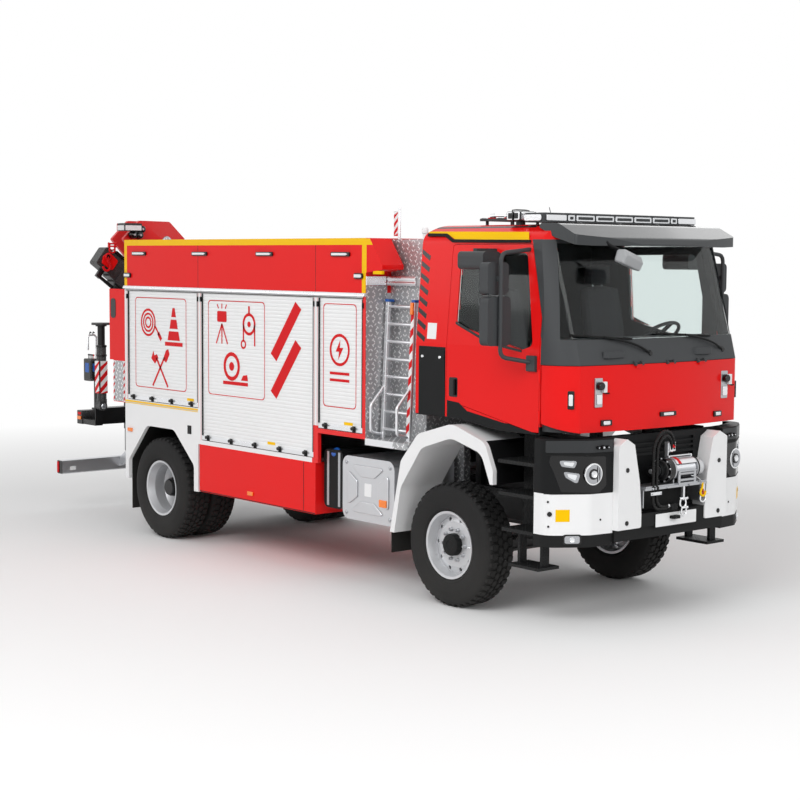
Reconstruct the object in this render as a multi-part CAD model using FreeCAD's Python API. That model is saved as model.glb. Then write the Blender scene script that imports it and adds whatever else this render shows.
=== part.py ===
import FreeCAD, Part
import math
import os

# Rescue truck, millimetres. +X is forward, +Y is the truck's left and +Z is up. The origin is on
# the ground, on the centreline, halfway along the overall length.

V = FreeCAD.Vector

# ---------------------------------------------------------------- driving dimensions
WHEELBASE = 4600.0
FRONT_OVERHANG = 1590.0
REAR_OVERHANG = 2360.0
OVERALL_LENGTH = FRONT_OVERHANG + WHEELBASE + REAR_OVERHANG
BODY_HALF = 1250.0
CAB_HALF = 1150.0
SEAM = 5.0                     # gap round a door or flap
FIT = 0.3                      # radial clearance of a pin, spindle or curved seat

AXLE_F = OVERALL_LENGTH / 2 - FRONT_OVERHANG
AXLE_R = AXLE_F - WHEELBASE

# wheels
TYRE_R = 545.0
AXLE_Z = TYRE_R
RIM_SEAT_R = 286.0
RIM_FLANGE_R = 298.5
RIM_WELL_R = 262.0
RIM_T = 9.0
RIM_WIDTH = 290.0
TYRE_BULGE = 20.0              # how far each sidewall stands outside its rim flange
TREAD_DEPTH = 14.0
LUGS = 24                      # tread blocks on each half of a tyre
FRONT_WHEEL_Y = 1025.0
TWIN_IN_Y = 752.5
TWIN_OUT_Y = 1082.5
SPINDLE_R = 34.0
DRUM_R = 205.0
NUT_CIRCLE_R = 167.5
WHEEL_NUTS = 10
HAND_HOLES = 10

# steering
KINGPIN_Y = 880.0
KINGPIN_R = 22.0
BOSS_R = 46.0
BOSS_HALF = 68.0
ARM_BACK = 180.0
TIE_ROD_Z = 432.0

# chassis frame
RAIL_OUT = 430.0
RAIL_W = 80.0
RAIL_T = 8.0
RAIL_BOTTOM = 700.0
RAIL_TOP = 970.0
FRAME_FRONT = AXLE_F + 1240.0
FRAME_REAR = AXLE_F - 6700.0
TOW_BORE_R = 14.0
FRAME_END_RUN = 162.5          # the frame's front end pieces, which carry the bumper

# cab
CAB_REAR = AXLE_F - 480.0
CAB_CORNER_X = AXLE_F + 1075.0      # where the side turns into the front corner
CAB_FRONT_X = AXLE_F + 1450.0
CAB_CORNER_Y = 985.0
CAB_CORNER_FRONT_X = AXLE_F + 1370.0
CAB_FLOOR_Z = 1600.0
CAB_ARCH_Z = 1660.0
CAB_ROOF_Z = 3330.0
CAB_WALL = 50.0
SEAT_X = AXLE_F + 150.0
SEAT_YS = (-640.0, 640.0)
SEAT_BASE_H = 290.0
PANEL_TOP_Z = 2180.0
SCREEN_BOTTOM_Z = 2366.0
SCREEN_TOP_Z = 3170.0
COWL_LEAN = 50.0
SCREEN_LEAN = 236.0
GLASS_T = 8.0
DOOR_REAR_X = AXLE_F - 75.0
HINGE_OUT = 6.0
FLAP_HINGE_X = AXLE_F + 1452.0
FLAP_HINGE_Z = PANEL_TOP_Z - 2.5

# body
BODY_REAR = AXLE_F - 5300.0
BODY_FRONT = AXLE_F - 1070.0
BODY_BOTTOM = 600.0
BODY_DECK_Z = 1030.0
CORNICE_LOW = 2690.0
CORNICE_TOP = 2720.0
LOCKER_TOP = 3160.0
BODY_TOP = 3220.0
WALL = 40.0
SHEET_GAP = 0.5
BODY_SILL_FRONT = 1430.0
SHUTTER_T = 22.0
SHUTTER_IN = 12.0                    # how far a shutter sits behind the posts' face
BAYS = [                             # rear x, front x, sill height of each roller shutter bay
    (BODY_REAR + 60.0, AXLE_F - 3840.0, 1470.0),
    (AXLE_F - 3770.0, AXLE_F - 1850.0, 1140.0),
    (AXLE_F - 1780.0, BODY_FRONT - 40.0, BODY_SILL_FRONT),
]
SHUTTER_TOP = 2665.0
SLAT_PITCH = 45.0

# crane
CRANE_X = AXLE_F - 6490.0
PIVOT_Y = -50.0
PIVOT_Z = 3220.0
KNUCKLE_Y = 720.0
KNUCKLE_Z = 1724.0
TIP_Y = -1050.0
TIP_Z = 3060.0
LIFT_FOOT_Y = 120.0
LIFT_FOOT_Z = 1620.0
LIFT_EYE_Y = -44.0
LIFT_EYE_Z = 2773.0
PIVOT_R = 40.0
LIFT_PIN_R = 30.0
LIFT_X = CRANE_X - 205.0
BOOM_W = 200.0
OUTER_X = CRANE_X + 265.0
OUTER_W = 190.0
CRANE_DECK_Z = 1400.0

# outriggers
LEG_X = AXLE_F - 6000.0
LEG_Y = 1145.0
LEG_PIVOT_Z = 1330.0
BEAM_X = AXLE_F - 6410.0
BEAM_Z = 1175.0

os.makedirs("parts", exist_ok=True)


# ---------------------------------------------------------------- small helpers
def rounded_edges(points, closed=True):
    """Lines and arcs through 3-D points given as (vector, corner radius)."""
    count = len(points)
    corners = []
    for i, (here, radius) in enumerate(points):
        if radius <= 0 or (not closed and i in (0, count - 1)):
            corners.append((here, None, here))
            continue
        back = (points[i - 1][0] - here).normalize()
        ahead = (points[(i + 1) % count][0] - here).normalize()
        half = back.getAngle(ahead) / 2
        run = radius / math.tan(half)
        middle = (back + ahead).normalize() * (radius / math.sin(half) - radius)
        corners.append((here + back * run, here + middle, here + ahead * run))
    edges = []
    for i, (start, middle, end) in enumerate(corners):
        if middle is not None:
            edges.append(Part.Arc(start, middle, end).toShape())
        if closed or i < count - 1:
            following = corners[(i + 1) % count][0]
            if end.distanceToPoint(following) > 1e-6:
                edges.append(Part.LineSegment(end, following).toShape())
    return edges


PLANES = {
    "x": (lambda u, v, w: V(w, u, v), V(1, 0, 0)),
    "y": (lambda u, v, w: V(u, w, v), V(0, 1, 0)),
    "z": (lambda u, v, w: V(u, v, w), V(0, 0, 1)),
}


def face(axis, points, at=0.0, radius=0.0):
    """A flat face square to an axis; a point may carry its own corner radius as a third value."""
    place = PLANES[axis][0]
    spots = [(place(p[0], p[1], at), p[2] if len(p) > 2 else radius) for p in points]
    return Part.Face(Part.Wire(rounded_edges(spots)))


def prism(axis, low, high, points, radius=0.0, lean=None):
    """The outline extruded from low to high, straight along its axis or leaning by a vector."""
    way = lean if lean is not None else PLANES[axis][1] * (high - low)
    return face(axis, points, low, radius).extrude(way)


def box(x, y, z):
    """A block from three (low, high) pairs."""
    return Part.makeBox(x[1] - x[0], y[1] - y[0], z[1] - z[0], V(x[0], y[0], z[0]))


def soft_box(x, y, z, radius, axis="z"):
    """A block with its edges along one axis rounded."""
    spans = {"x": (y, z, x), "y": (x, z, y), "z": (x, y, z)}[axis]
    (a0, a1), (b0, b1), (low, high) = spans
    return prism(axis, low, high, [(a0, b0), (a1, b0), (a1, b1), (a0, b1)], radius)


def rod(axis, centre, radius, low, high):
    """A round bar along an axis; centre is its other two coordinates."""
    place, way = PLANES[axis]
    return Part.makeCylinder(radius, high - low, place(centre[0], centre[1], low), way)


def ring(axis, centre, outer, inner, low, high):
    return rod(axis, centre, outer, low, high).cut(rod(axis, centre, inner, low, high))


def turned(points, x, z):
    """A solid of revolution about the Y line through (x, z); points are (radius, y)."""
    profile = face("z", points)
    return profile.revolve(V(0, 0, 0), V(0, 1, 0), 360).translated(V(x, 0, z))


def pipe(points, radius, bend, sides=12):
    """A bent round bar of a few flat sides, mitred along straight runs and rounded corners."""
    edges = rounded_edges([(V(*p), bend) for p in points], closed=False)
    path = [edges[0].valueAt(edges[0].FirstParameter)]
    for edge in edges:
        start, end = edge.FirstParameter, edge.LastParameter
        steps = 1 if isinstance(edge.Curve, (Part.Line, Part.LineSegment)) else 3
        path += [edge.valueAt(start + (end - start) * i / steps) for i in range(1, steps + 1)]
    ways = [(b - a).normalize() for a, b in zip(path, path[1:])]
    first = ways[0].cross(V(1, 0, 0) if abs(ways[0].x) < 0.9 else V(0, 1, 0)).normalize() * radius
    spots = [path[0] + FreeCAD.Rotation(ways[0], 360.0 * i / sides).multVec(first) for i in range(sides)]
    sections = [spots]
    for i, way in enumerate(ways):
        normal = way + ways[min(i + 1, len(ways) - 1)]
        spots = [s + way * ((path[i + 1] - s).dot(normal) / way.dot(normal)) for s in spots]
        sections.append(spots)
    return Part.makeLoft([Part.makePolygon(ring + ring[:1]) for ring in sections], True, True)


def mirrored(shape):
    return shape.mirror(V(0, 0, 0), V(0, 1, 0))


def both(shape):
    """The shape on the right side and its mirror image on the left."""
    return [shape, mirrored(shape)]


def fused(shapes):
    first, *others = shapes
    whole = first.fuse(others).removeSplitter() if others else first
    assert whole.Volume > 0.999 * max(s.Volume for s in shapes)
    assert all(whole.BoundBox.DiagonalLength >= s.BoundBox.DiagonalLength - 0.1 for s in shapes)
    return whole


def cut_all(shape, tools):
    return shape.cut(Part.makeCompound(tools))


def save(name, shapes):
    solids = [s for shape in shapes for s in shape.Solids]
    Part.makeCompound(solids).exportStep(f"parts/{name}.step")


# ---------------------------------------------------------------- wheels
def tyre(y):
    """One tyre: two staggered rows of tread blocks over a casing whose sidewalls bulge past the rim."""
    bead = RIM_WIDTH / 2 - 14.0
    flange = RIM_WIDTH / 2 + 3.0
    bulge = RIM_WIDTH / 2 + TYRE_BULGE
    half = [
        (RIM_SEAT_R + FIT, bead),
        (RIM_FLANGE_R + 4.0, bead),
        (RIM_FLANGE_R + 12.0, flange),
        (RIM_FLANGE_R + 90.0, bulge),
        (TYRE_R - 58.0, bulge - 14.0),
        (TYRE_R - TREAD_DEPTH, bulge - 56.0),
    ]
    other = [(r, -w) for r, w in reversed(half)]
    casing = turned(half + other, 0, 0)
    block = [(12, TYRE_R), (bulge - 50, TYRE_R), (bulge - 9, TYRE_R - 45), (bulge - 25, TYRE_R - 66), (60, TYRE_R - 32),
             (12, TYRE_R - 32)]
    blocks = []
    for way in (1, -1):
        lug = prism("x", -19, 19, [(way * w, r) for w, r in block])
        for i in range(LUGS):
            turn = 360.0 / LUGS * (i + (0.5 if way < 0 else 0.0))
            blocks.append(lug.rotated(V(0, 0, 0), V(0, 1, 0), turn))
    return casing.fuse(blocks).translated(V(0, y, 0))


def rim(y):
    """One rim's barrel, with flanges, bead seats and a well."""
    edge = RIM_WIDTH / 2
    seat = edge - 13.0
    outside = [(RIM_FLANGE_R, edge), (RIM_FLANGE_R, seat), (RIM_SEAT_R, seat), (RIM_WELL_R, 70.0)]
    inside = [(RIM_WELL_R - RIM_T, 66.0), (RIM_SEAT_R - RIM_T, edge - 4.0)]
    right = [(r, -w) for r, w in reversed(outside)]
    back = [(r, -w) for r, w in reversed(inside)]
    loop = outside + right + back + inside
    return turned([(r, w + y) for r, w in loop], 0, 0)


def round_pattern(count, circle_r, hole_r, low, high, phase=0.0):
    rods = []
    for i in range(count):
        turn = 2 * math.pi * i / count + phase
        rods.append(rod("y", (circle_r * math.cos(turn), circle_r * math.sin(turn)), hole_r, low, high))
    return rods


def front_wheel(y):
    """Left front wheel: shallow disc with vent holes, nuts, drum and hub with its cap."""
    disc_y = y + 78.0
    disc = turned([(SPINDLE_R + FIT, disc_y - 22.0), (NUT_CIRCLE_R + 30.0, disc_y - 22.0),
                   (RIM_WELL_R - 2.0, y + 40.0), (RIM_WELL_R - 2.0, y + 54.0),
                   (NUT_CIRCLE_R + 34.0, disc_y - 8.0), (SPINDLE_R + FIT, disc_y - 8.0)], 0, 0)
    drum = turned([(SPINDLE_R + FIT, y - 40.0), (DRUM_R, y - 40.0), (DRUM_R, disc_y - 60.0),
                   (NUT_CIRCLE_R + 26.0, disc_y - 22.0), (SPINDLE_R + FIT, disc_y - 22.0)], 0, 0)
    cap = turned([(0, y + 118.0), (0, disc_y + 52.0), (52.0, disc_y + 52.0), (86.0, disc_y + 34.0),
                  (92.0, disc_y - 8.0), (SPINDLE_R + FIT, disc_y - 8.0), (SPINDLE_R + FIT, y + 118.0)], 0, 0)
    vents = round_pattern(HAND_HOLES, NUT_CIRCLE_R + 58.0, 17.0, y, y + 140.0)
    nuts = round_pattern(WHEEL_NUTS, NUT_CIRCLE_R - 30.0, 16.0, disc_y - 8.0, disc_y + 16.0)
    return fused([rim(y), disc.cut(fused(vents)), drum, cap] + nuts)


def rear_wheels():
    """Left twin rims bolted back to back on one hub and drum."""
    middle = (TWIN_IN_Y + TWIN_OUT_Y) / 2
    discs = turned([(SPINDLE_R + FIT, middle - 12.0), (NUT_CIRCLE_R + 20.0, middle - 12.0),
                    (RIM_WELL_R - 2.0, TWIN_IN_Y + 40.0), (RIM_WELL_R - 2.0, TWIN_IN_Y + 54.0),
                    (NUT_CIRCLE_R + 44.0, middle - 2.0), (NUT_CIRCLE_R + 44.0, middle + 2.0),
                    (RIM_WELL_R - 2.0, TWIN_OUT_Y - 54.0), (RIM_WELL_R - 2.0, TWIN_OUT_Y - 40.0),
                    (NUT_CIRCLE_R + 20.0, middle + 12.0), (SPINDLE_R + FIT, middle + 12.0)], 0, 0)
    hub = turned([(0, middle + 150.0), (0, middle + 220.0), (80.0, middle + 220.0), (96.0, middle + 190.0),
                  (118.0, middle + 60.0), (150.0, middle + 12.0), (SPINDLE_R + FIT, middle + 12.0),
                  (SPINDLE_R + FIT, middle + 150.0)], 0, 0)
    drum = turned([(SPINDLE_R + FIT, middle - 210.0), (DRUM_R, middle - 210.0), (DRUM_R, middle - 60.0),
                   (NUT_CIRCLE_R, middle - 12.0), (SPINDLE_R + FIT, middle - 12.0)], 0, 0)
    nuts = round_pattern(WHEEL_NUTS, NUT_CIRCLE_R + 2.0, 16.0, middle + 12.0, middle + 40.0)
    return fused([rim(TWIN_IN_Y), rim(TWIN_OUT_Y), discs, hub, drum] + nuts)


def wheels():
    front, rear = V(AXLE_F, 0, AXLE_Z), V(AXLE_R, 0, AXLE_Z)
    plain = tyre(0.0)
    front_tyre, front_rim = plain.translated(V(0, FRONT_WHEEL_Y, 0)), front_wheel(FRONT_WHEEL_Y)
    rear_tyres, rear_rims = [plain.translated(V(0, at, 0)) for at in (TWIN_IN_Y, TWIN_OUT_Y)], rear_wheels()
    for side, turn in (("left", lambda s: s), ("right", mirrored)):
        save(f"tyre_front_{side}", [turn(front_tyre).translated(front)])
        save(f"wheel_front_{side}", [turn(front_rim).translated(front)])
        save(f"tyres_rear_{side}", [turn(t).translated(rear) for t in rear_tyres])
        save(f"wheel_rear_{side}", [turn(rear_rims).translated(rear)])


# ---------------------------------------------------------------- steering and axles
def knuckle():
    """Left steering knuckle: two ears on the kingpin, a web, the spindle and the steering arm."""
    x, y, z = AXLE_F, KINGPIN_Y, AXLE_Z
    ear_low, ear_top = BOSS_HALF + 1.0, BOSS_HALF + 41.0
    web_y = (y + BOSS_R + 6.0, y + BOSS_R + 22.0)
    parts = [rod("z", (x, y), KINGPIN_R, z - ear_top, z + ear_top)]
    for low, high in ((z + ear_low, z + ear_top), (z - ear_top, z - ear_low)):
        parts.append(rod("z", (x, y), BOSS_R, low, high))
        parts.append(box((x - BOSS_R, x + BOSS_R), (y, web_y[1]), (low, high)))
    parts.append(box((x - BOSS_R, x + BOSS_R), web_y, (z - ear_top, z + ear_top)))
    parts.append(rod("y", (x, z), DRUM_R - 12.0, web_y[1], FRONT_WHEEL_Y - 46.0))
    parts.append(rod("y", (x, z), SPINDLE_R, web_y[1], FRONT_WHEEL_Y + 112.0))
    arm_z = (z - ear_top, z - ear_low)
    parts.append(box((x - ARM_BACK - 28.0, x), (y - 24.0, y + 24.0), arm_z))
    solid = fused(parts)
    return solid.cut(rod("z", (x - ARM_BACK, y), 12.0 + FIT, arm_z[0] - 1, arm_z[1] + 1))


def tie_rod():
    """The bar that makes the two knuckles steer together, pinned on both arms."""
    x, z = AXLE_F - ARM_BACK, TIE_ROD_Z
    arm_low = AXLE_Z - BOSS_HALF - 41.0
    bar = rod("y", (x, z - 34.0), 18.0, -KINGPIN_Y, KINGPIN_Y)
    ends = [rod("z", (x, side * KINGPIN_Y), 24.0, z - 56.0, arm_low - 1.0) for side in (-1, 1)]
    pin = rod("z", (x, -KINGPIN_Y), 12.0, arm_low - 1.0, arm_low + 34.0)
    return fused([bar, pin] + ends)


def front_axle():
    """Forged I-section beam, dropped between the spring seats, with a kingpin boss at each end."""
    x, z = AXLE_F, AXLE_Z
    seat = RAIL_OUT + 60.0
    drop = 70.0

    def band(low, high):
        return [(-KINGPIN_Y, z + low), (-seat, z + low - drop), (seat, z + low - drop), (KINGPIN_Y, z + low),
                (KINGPIN_Y, z + high), (seat, z + high - drop), (-seat, z + high - drop), (-KINGPIN_Y, z + high)]

    web = prism("x", x - 16.0, x + 16.0, band(-48.0, 48.0))
    flanges = [prism("x", x - 48.0, x + 48.0, band(-56.0, -34.0)), prism("x", x - 48.0, x + 48.0, band(34.0, 56.0))]
    pads = [box((x - 90, x + 90), (s * 390 - 48, s * 390 + 48), (z + 50 - drop, z + 70 - drop)) for s in (-1, 1)]
    bosses = both(rod("z", (x, -KINGPIN_Y), BOSS_R, z - BOSS_HALF, z + BOSS_HALF))
    beam = fused([web] + flanges + pads + bosses)
    bores = both(rod("z", (x, -KINGPIN_Y), KINGPIN_R + FIT, z - 90.0, z + 90.0))
    return beam.cut(fused(bores))


def rear_axle():
    """Banjo housing with the final drive in the middle and a spindle at each end."""
    x, z = AXLE_R, AXLE_Z
    middle = (TWIN_IN_Y + TWIN_OUT_Y) / 2
    drum_in = middle - 210.0
    half = [(0, drum_in + 340.0), (SPINDLE_R, drum_in + 340.0), (SPINDLE_R, drum_in - 6.0),
            (DRUM_R - 12.0, drum_in - 6.0), (DRUM_R - 12.0, drum_in - 22.0), (78.0, drum_in - 22.0),
            (78.0, 300.0, 60.0), (205.0, 130.0, 60.0), (205.0, 0)]
    side = turned([(p[0], p[1], *p[2:]) for p in half] + [(0, 0)], x, z)
    nose = Part.makeCone(150.0, 80.0, 330.0, V(x + 100.0, 0, z), V(1, 0, 0.12))
    pads = [box((x - 90, x + 90), (s * 390 - 48, s * 390 + 48), (z + 40, z + 80)) for s in (-1, 1)]
    return fused([side, mirrored(side), nose] + pads)


def leaf_spring(x, seat_z, half_run):
    """One leaf pack: a full-length main leaf rising to its eyes over two shorter leaves."""
    eye_z = RAIL_BOTTOM - 20.0
    leaf = 16.0
    rise = eye_z - (seat_z + 3 * leaf)
    solids = []
    for i in range(3):
        run = half_run * (1.0 - 0.3 * i)
        top = seat_z + leaf * (3 - i)
        lift = rise * (run / half_run) ** 2
        upper = Part.Arc(V(x - run, 0, top + lift), V(x, 0, top), V(x + run, 0, top + lift)).toShape()
        lower = Part.Arc(V(x + run, 0, top + lift - leaf), V(x, 0, top - leaf), V(x - run, 0, top + lift - leaf)).toShape()
        ends = [Part.LineSegment(V(x + run, 0, top + lift), V(x + run, 0, top + lift - leaf)).toShape(),
                Part.LineSegment(V(x - run, 0, top + lift - leaf), V(x - run, 0, top + lift)).toShape()]
        solids.append(Part.Face(Part.Wire([upper, ends[0], lower, ends[1]])).extrude(V(0, 56, 0)))
    eyes = [rod("y", (x + side * half_run, eye_z - 8.0), 24.0, 0, 56) for side in (-1, 1)]
    return fused(solids + eyes).translated(V(0, 362, 0))


def spring_hangers(x, half_run):
    cheeks = []
    for side in (-1, 1):
        at = x + side * half_run
        for y in ((350.0, 361.7), (418.3, 430.0)):
            outline = [(at - 60, RAIL_BOTTOM), (at - 34, RAIL_BOTTOM - 80, 30), (at + 34, RAIL_BOTTOM - 80, 30),
                       (at + 60, RAIL_BOTTOM)]
            cheeks.append(prism("y", y[0], y[1], outline))
    return cheeks


def running_gear():
    save("knuckle_left", [knuckle()])
    save("knuckle_right", [mirrored(knuckle())])
    save("tie_rod", [tie_rod()])
    save("front_axle", [front_axle()])
    springs, hangers = [], []
    for x, seat in ((AXLE_F, AXLE_Z), (AXLE_R, AXLE_Z + 80.0)):
        half_run = 760.0
        spring = leaf_spring(x, seat, half_run)
        springs += [spring, mirrored(spring)]
        for cheek in spring_hangers(x, half_run):
            hangers += [cheek, mirrored(cheek)]
    save("leaf_springs", springs)
    return hangers


# ---------------------------------------------------------------- chassis
def chassis(hangers):
    inner, web = RAIL_OUT - RAIL_W, RAIL_OUT - RAIL_T
    section = [(inner, RAIL_BOTTOM), (RAIL_OUT, RAIL_BOTTOM, 12), (RAIL_OUT, RAIL_TOP, 12), (inner, RAIL_TOP),
               (inner, RAIL_TOP - RAIL_T), (web, RAIL_TOP - RAIL_T), (web, RAIL_BOTTOM + RAIL_T),
               (inner, RAIL_BOTTOM + RAIL_T)]
    rail = prism("x", FRAME_REAR, FRAME_FRONT, section)
    near = [h for h in hangers if h.BoundBox.YMax < 0]
    front_end = box((FRAME_FRONT, FRAME_FRONT + FRAME_END_RUN), (-RAIL_OUT, -RAIL_OUT + 60), (740, 930))
    mounts = [box((AXLE_F + 960, AXLE_F + 1060), (-RAIL_OUT, -RAIL_OUT + 60), (RAIL_TOP - 1, CAB_FLOOR_Z)),
              box((AXLE_F - 460, AXLE_F - 390), (-RAIL_OUT, -RAIL_OUT + 60), (RAIL_TOP - 1, CAB_ARCH_Z))]
    save("frame_rails", both(fused([mirrored(rail), front_end] + near + mounts)))
    members = []
    for x in (FRAME_FRONT - 60, AXLE_F - 1200, AXLE_F - 2000, AXLE_F - 3300, AXLE_R - 900, AXLE_F - 6000, FRAME_REAR + 70):
        members.append(prism("y", -web, web, [(x - 40, 740), (x + 40, 740), (x + 40, 760), (x - 20, 760),
                                              (x - 20, 910), (x + 40, 910), (x + 40, 930), (x - 40, 930)]))
    start, end = V(AXLE_F - 1074.6, 0, 820), V(AXLE_R + 429, 0, AXLE_Z + 39)
    tunnel = Part.makeCylinder(80.0, (end - start).Length, start, end - start)
    shaft = Part.makeCylinder(55.0, (end - start).Length, start, end - start)
    save("crossmembers", [member.cut(tunnel) for member in members])
    save("rear_axle", [fused([rear_axle(), shaft])])
    engine = prism("x", AXLE_F - 350, AXLE_F + 830,
                   [(-160, 610, 40), (160, 610, 40), (330, 800, 40), (330, 1430, 60), (-330, 1430, 60), (-330, 800, 40)])
    gearbox = turned([(0, 0), (190, 0), (160, 500), (110, 720), (0, 720)], 0, 0)
    gearbox = gearbox.rotated(V(0, 0, 0), V(0, 0, 1), 90).translated(V(AXLE_F - 350, 0, 820))
    save("engine_block", [fused([engine, gearbox])])


def side_tanks():
    inner = RAIL_OUT + WALL
    tank = soft_box((AXLE_F - 1465, AXLE_F - 712), (-1195, -inner), (612, 1205), 85.0, "y")
    save("fuel_tank", [tank])
    small = soft_box((AXLE_F - 1765, AXLE_F - 1475), (-1185, -inner), (680, 1235), 60.0, "y")
    cap = Part.makeCylinder(48, 60, V(AXLE_F - 1620, -1110, 1170), V(0, -0.75, 0.66))
    battery = soft_box((AXLE_F - 1765, AXLE_F - 1150), (inner, 1180), (640, 1180), 40.0, "y")
    air = []
    for z in (760.0, 1040.0):
        end = 118.0
        air.append(turned([(0, RAIL_OUT), (end - 50, RAIL_OUT), (end, 460), (end, 1130), (end - 50, 1160), (0, 1160)],
                          AXLE_F - 880, z))
    save("side_tanks", [fused([small, cap]), battery] + air)


# ---------------------------------------------------------------- cab
def cab_plan(inset=0.0, back=-3000.0):
    """Outline of the cab seen from above, as a wire at z = 0: straight sides, faceted corners, bowed front."""
    half = CAB_HALF - inset
    corner = V(CAB_CORNER_FRONT_X - inset, CAB_CORNER_Y - inset * 0.5, 0)
    side = V(CAB_CORNER_X - inset * 0.3, half, 0)
    front = V(CAB_FRONT_X - inset, 0, 0)
    rear = AXLE_F + back
    near_corner, near_side = V(corner.x, -corner.y, 0), V(side.x, -half, 0)
    bend = V((side.x + corner.x) / 2 + 42.0, (side.y + corner.y) / 2 + 28.0, 0)
    near_bend = V(bend.x, -bend.y, 0)
    edges = [
        Part.LineSegment(V(rear, -half, 0), near_side).toShape(),
        Part.Arc(near_side, near_bend, near_corner).toShape(),
        Part.Arc(near_corner, front, corner).toShape(),
        Part.Arc(corner, bend, side).toShape(),
        Part.LineSegment(side, V(rear, half, 0)).toShape(),
        Part.LineSegment(V(rear, half, 0), V(rear, -half, 0)).toShape(),
    ]
    return Part.Wire(edges)


def cab_solid(inset=0.0):
    """The cab as one block: upright below the cowl, leaning back above it, with narrowing glasshouse."""
    plan = Part.Face(cab_plan(inset))
    lower = plan.translated(V(0, 0, 1400)).extrude(V(0, 0, PANEL_TOP_Z - 1400))
    cowl = plan.translated(V(0, 0, PANEL_TOP_Z)).extrude(V(-COWL_LEAN, 0, SCREEN_BOTTOM_Z - PANEL_TOP_Z))
    rise = 1250.0
    lean = -SCREEN_LEAN * rise / (SCREEN_TOP_Z - SCREEN_BOTTOM_Z)
    screen = plan.translated(V(-COWL_LEAN, 0, SCREEN_BOTTOM_Z)).extrude(V(lean, 0, rise))
    tower = fused([lower, cowl, screen])
    t = inset
    rear, top, low, arch = CAB_REAR + t, CAB_ROOF_Z - t, CAB_FLOOR_Z + t, CAB_ARCH_Z + t
    side = prism("y", -1500, 1500, [(rear, arch, 20), (rear, top, 90), (AXLE_F + 800, top, 300),
                                    (AXLE_F + 1250, top - 110), (AXLE_F + 1700, top - 110),
                                    (AXLE_F + 1700, low), (AXLE_F + 560 + t, low), (AXLE_F + 480 + t, arch)])
    half = CAB_HALF - t
    front = prism("x", AXLE_F - 600, AXLE_F + 1700,
                  [(-half, 1400), (-half, 2300), (-half + 78, top - 90, 130), (-half + 260, top, 300),
                   (half - 260, top, 300), (half - 78, top - 90, 130), (half, 2300), (half, 1400)])
    return tower.common(side).common(front)


DOOR = [(DOOR_REAR_X, 1800.0, 60.0), (DOOR_REAR_X, 3165.0, 40.0), (AXLE_F + 905.0, 3165.0, 20.0),
        (CAB_CORNER_X - SEAM, 2560.0, 60.0), (CAB_CORNER_X - SEAM, 1600.0, 20.0), (AXLE_F + 851.0, 1640.0, 60.0),
        (AXLE_F + 173.0, 1768.0, 60.0)]
DOOR_WINDOW = [(AXLE_F + 35.0, 2470.0, 50.0), (AXLE_F + 35.0, 3080.0, 60.0), (AXLE_F + 850.0, 3090.0, 50.0),
               (AXLE_F + 985.0, 2330.0, 50.0), (AXLE_F + 860.0, 2290.0, 60.0)]


def grown(points, by):
    """A closed outline moved outwards by a distance, keeping its corners' character."""
    wire = Part.Wire(rounded_edges([(V(p[0], p[1], 0), p[2]) for p in points]))
    return wire.makeOffset2D(by)


def side_cut(wire, side):
    """An outline drawn in X-Z, extruded through one side wall of the cab."""
    area = Part.Face(wire)
    area = area.rotated(V(0, 0, 0), V(1, 0, 0), 90)
    low, high = (700.0, 1400.0) if side > 0 else (-1400.0, -700.0)
    return area.translated(V(0, low, 0)).extrude(V(0, high - low, 0))


def screen_cut(shrink):
    """The windscreen's outline drawn in Y-Z, extruded forwards."""
    low, top = SCREEN_BOTTOM_Z + 20 + shrink, SCREEN_TOP_Z - shrink
    return prism("x", AXLE_F + 600, AXLE_F + 1700,
                 [(-1080 + shrink, low), (-985 + shrink, top), (985 - shrink, top), (1080 - shrink, low)])


def hinged(axis, at, starts, leaf, frame, inward):
    """Hinges with pins: eyes and straps on the leaf, lugs and pins on the frame."""
    run, eye_r, pin_r = 60.0, 12.0, 6.0
    for low in starts:
        high = low + run
        frame = frame.cut(rod(axis, at, eye_r + 5.5, low - 5, high + 5))
        leaf = leaf.cut(rod(axis, at, eye_r + 1.0, low - 30, high + 30))
        reach = 34.0
        if axis == "z":
            strap = box(sorted((at[0], at[0] + inward[0] * reach)), sorted((at[1], at[1] + inward[1] * 12)), (low, high))
        else:
            strap = box(sorted((at[0], at[0] + inward[0] * 18)), (low, high), sorted((at[1] + 4, at[1] + inward[1] * reach)))
        strap = strap.cut(frame)
        leaf = fused([leaf, rod(axis, at, eye_r, low, high), strap]).cut(rod(axis, at, pin_r + FIT, low - 1, high + 1))
        lugs = [rod(axis, at, eye_r, low - 25, low - 0.5), rod(axis, at, eye_r, high + 0.5, high + 25)]
        if axis == "y":
            lugs += [box((at[0] - 18, at[0]), (a, b), (at[1], at[1] + 24)) for a, b in
                     ((low - 25, low - 0.5), (high + 0.5, high + 25))]
        frame = fused([frame, rod(axis, at, pin_r, low - 25, high + 25)] + lugs)
    return leaf, frame


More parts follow.
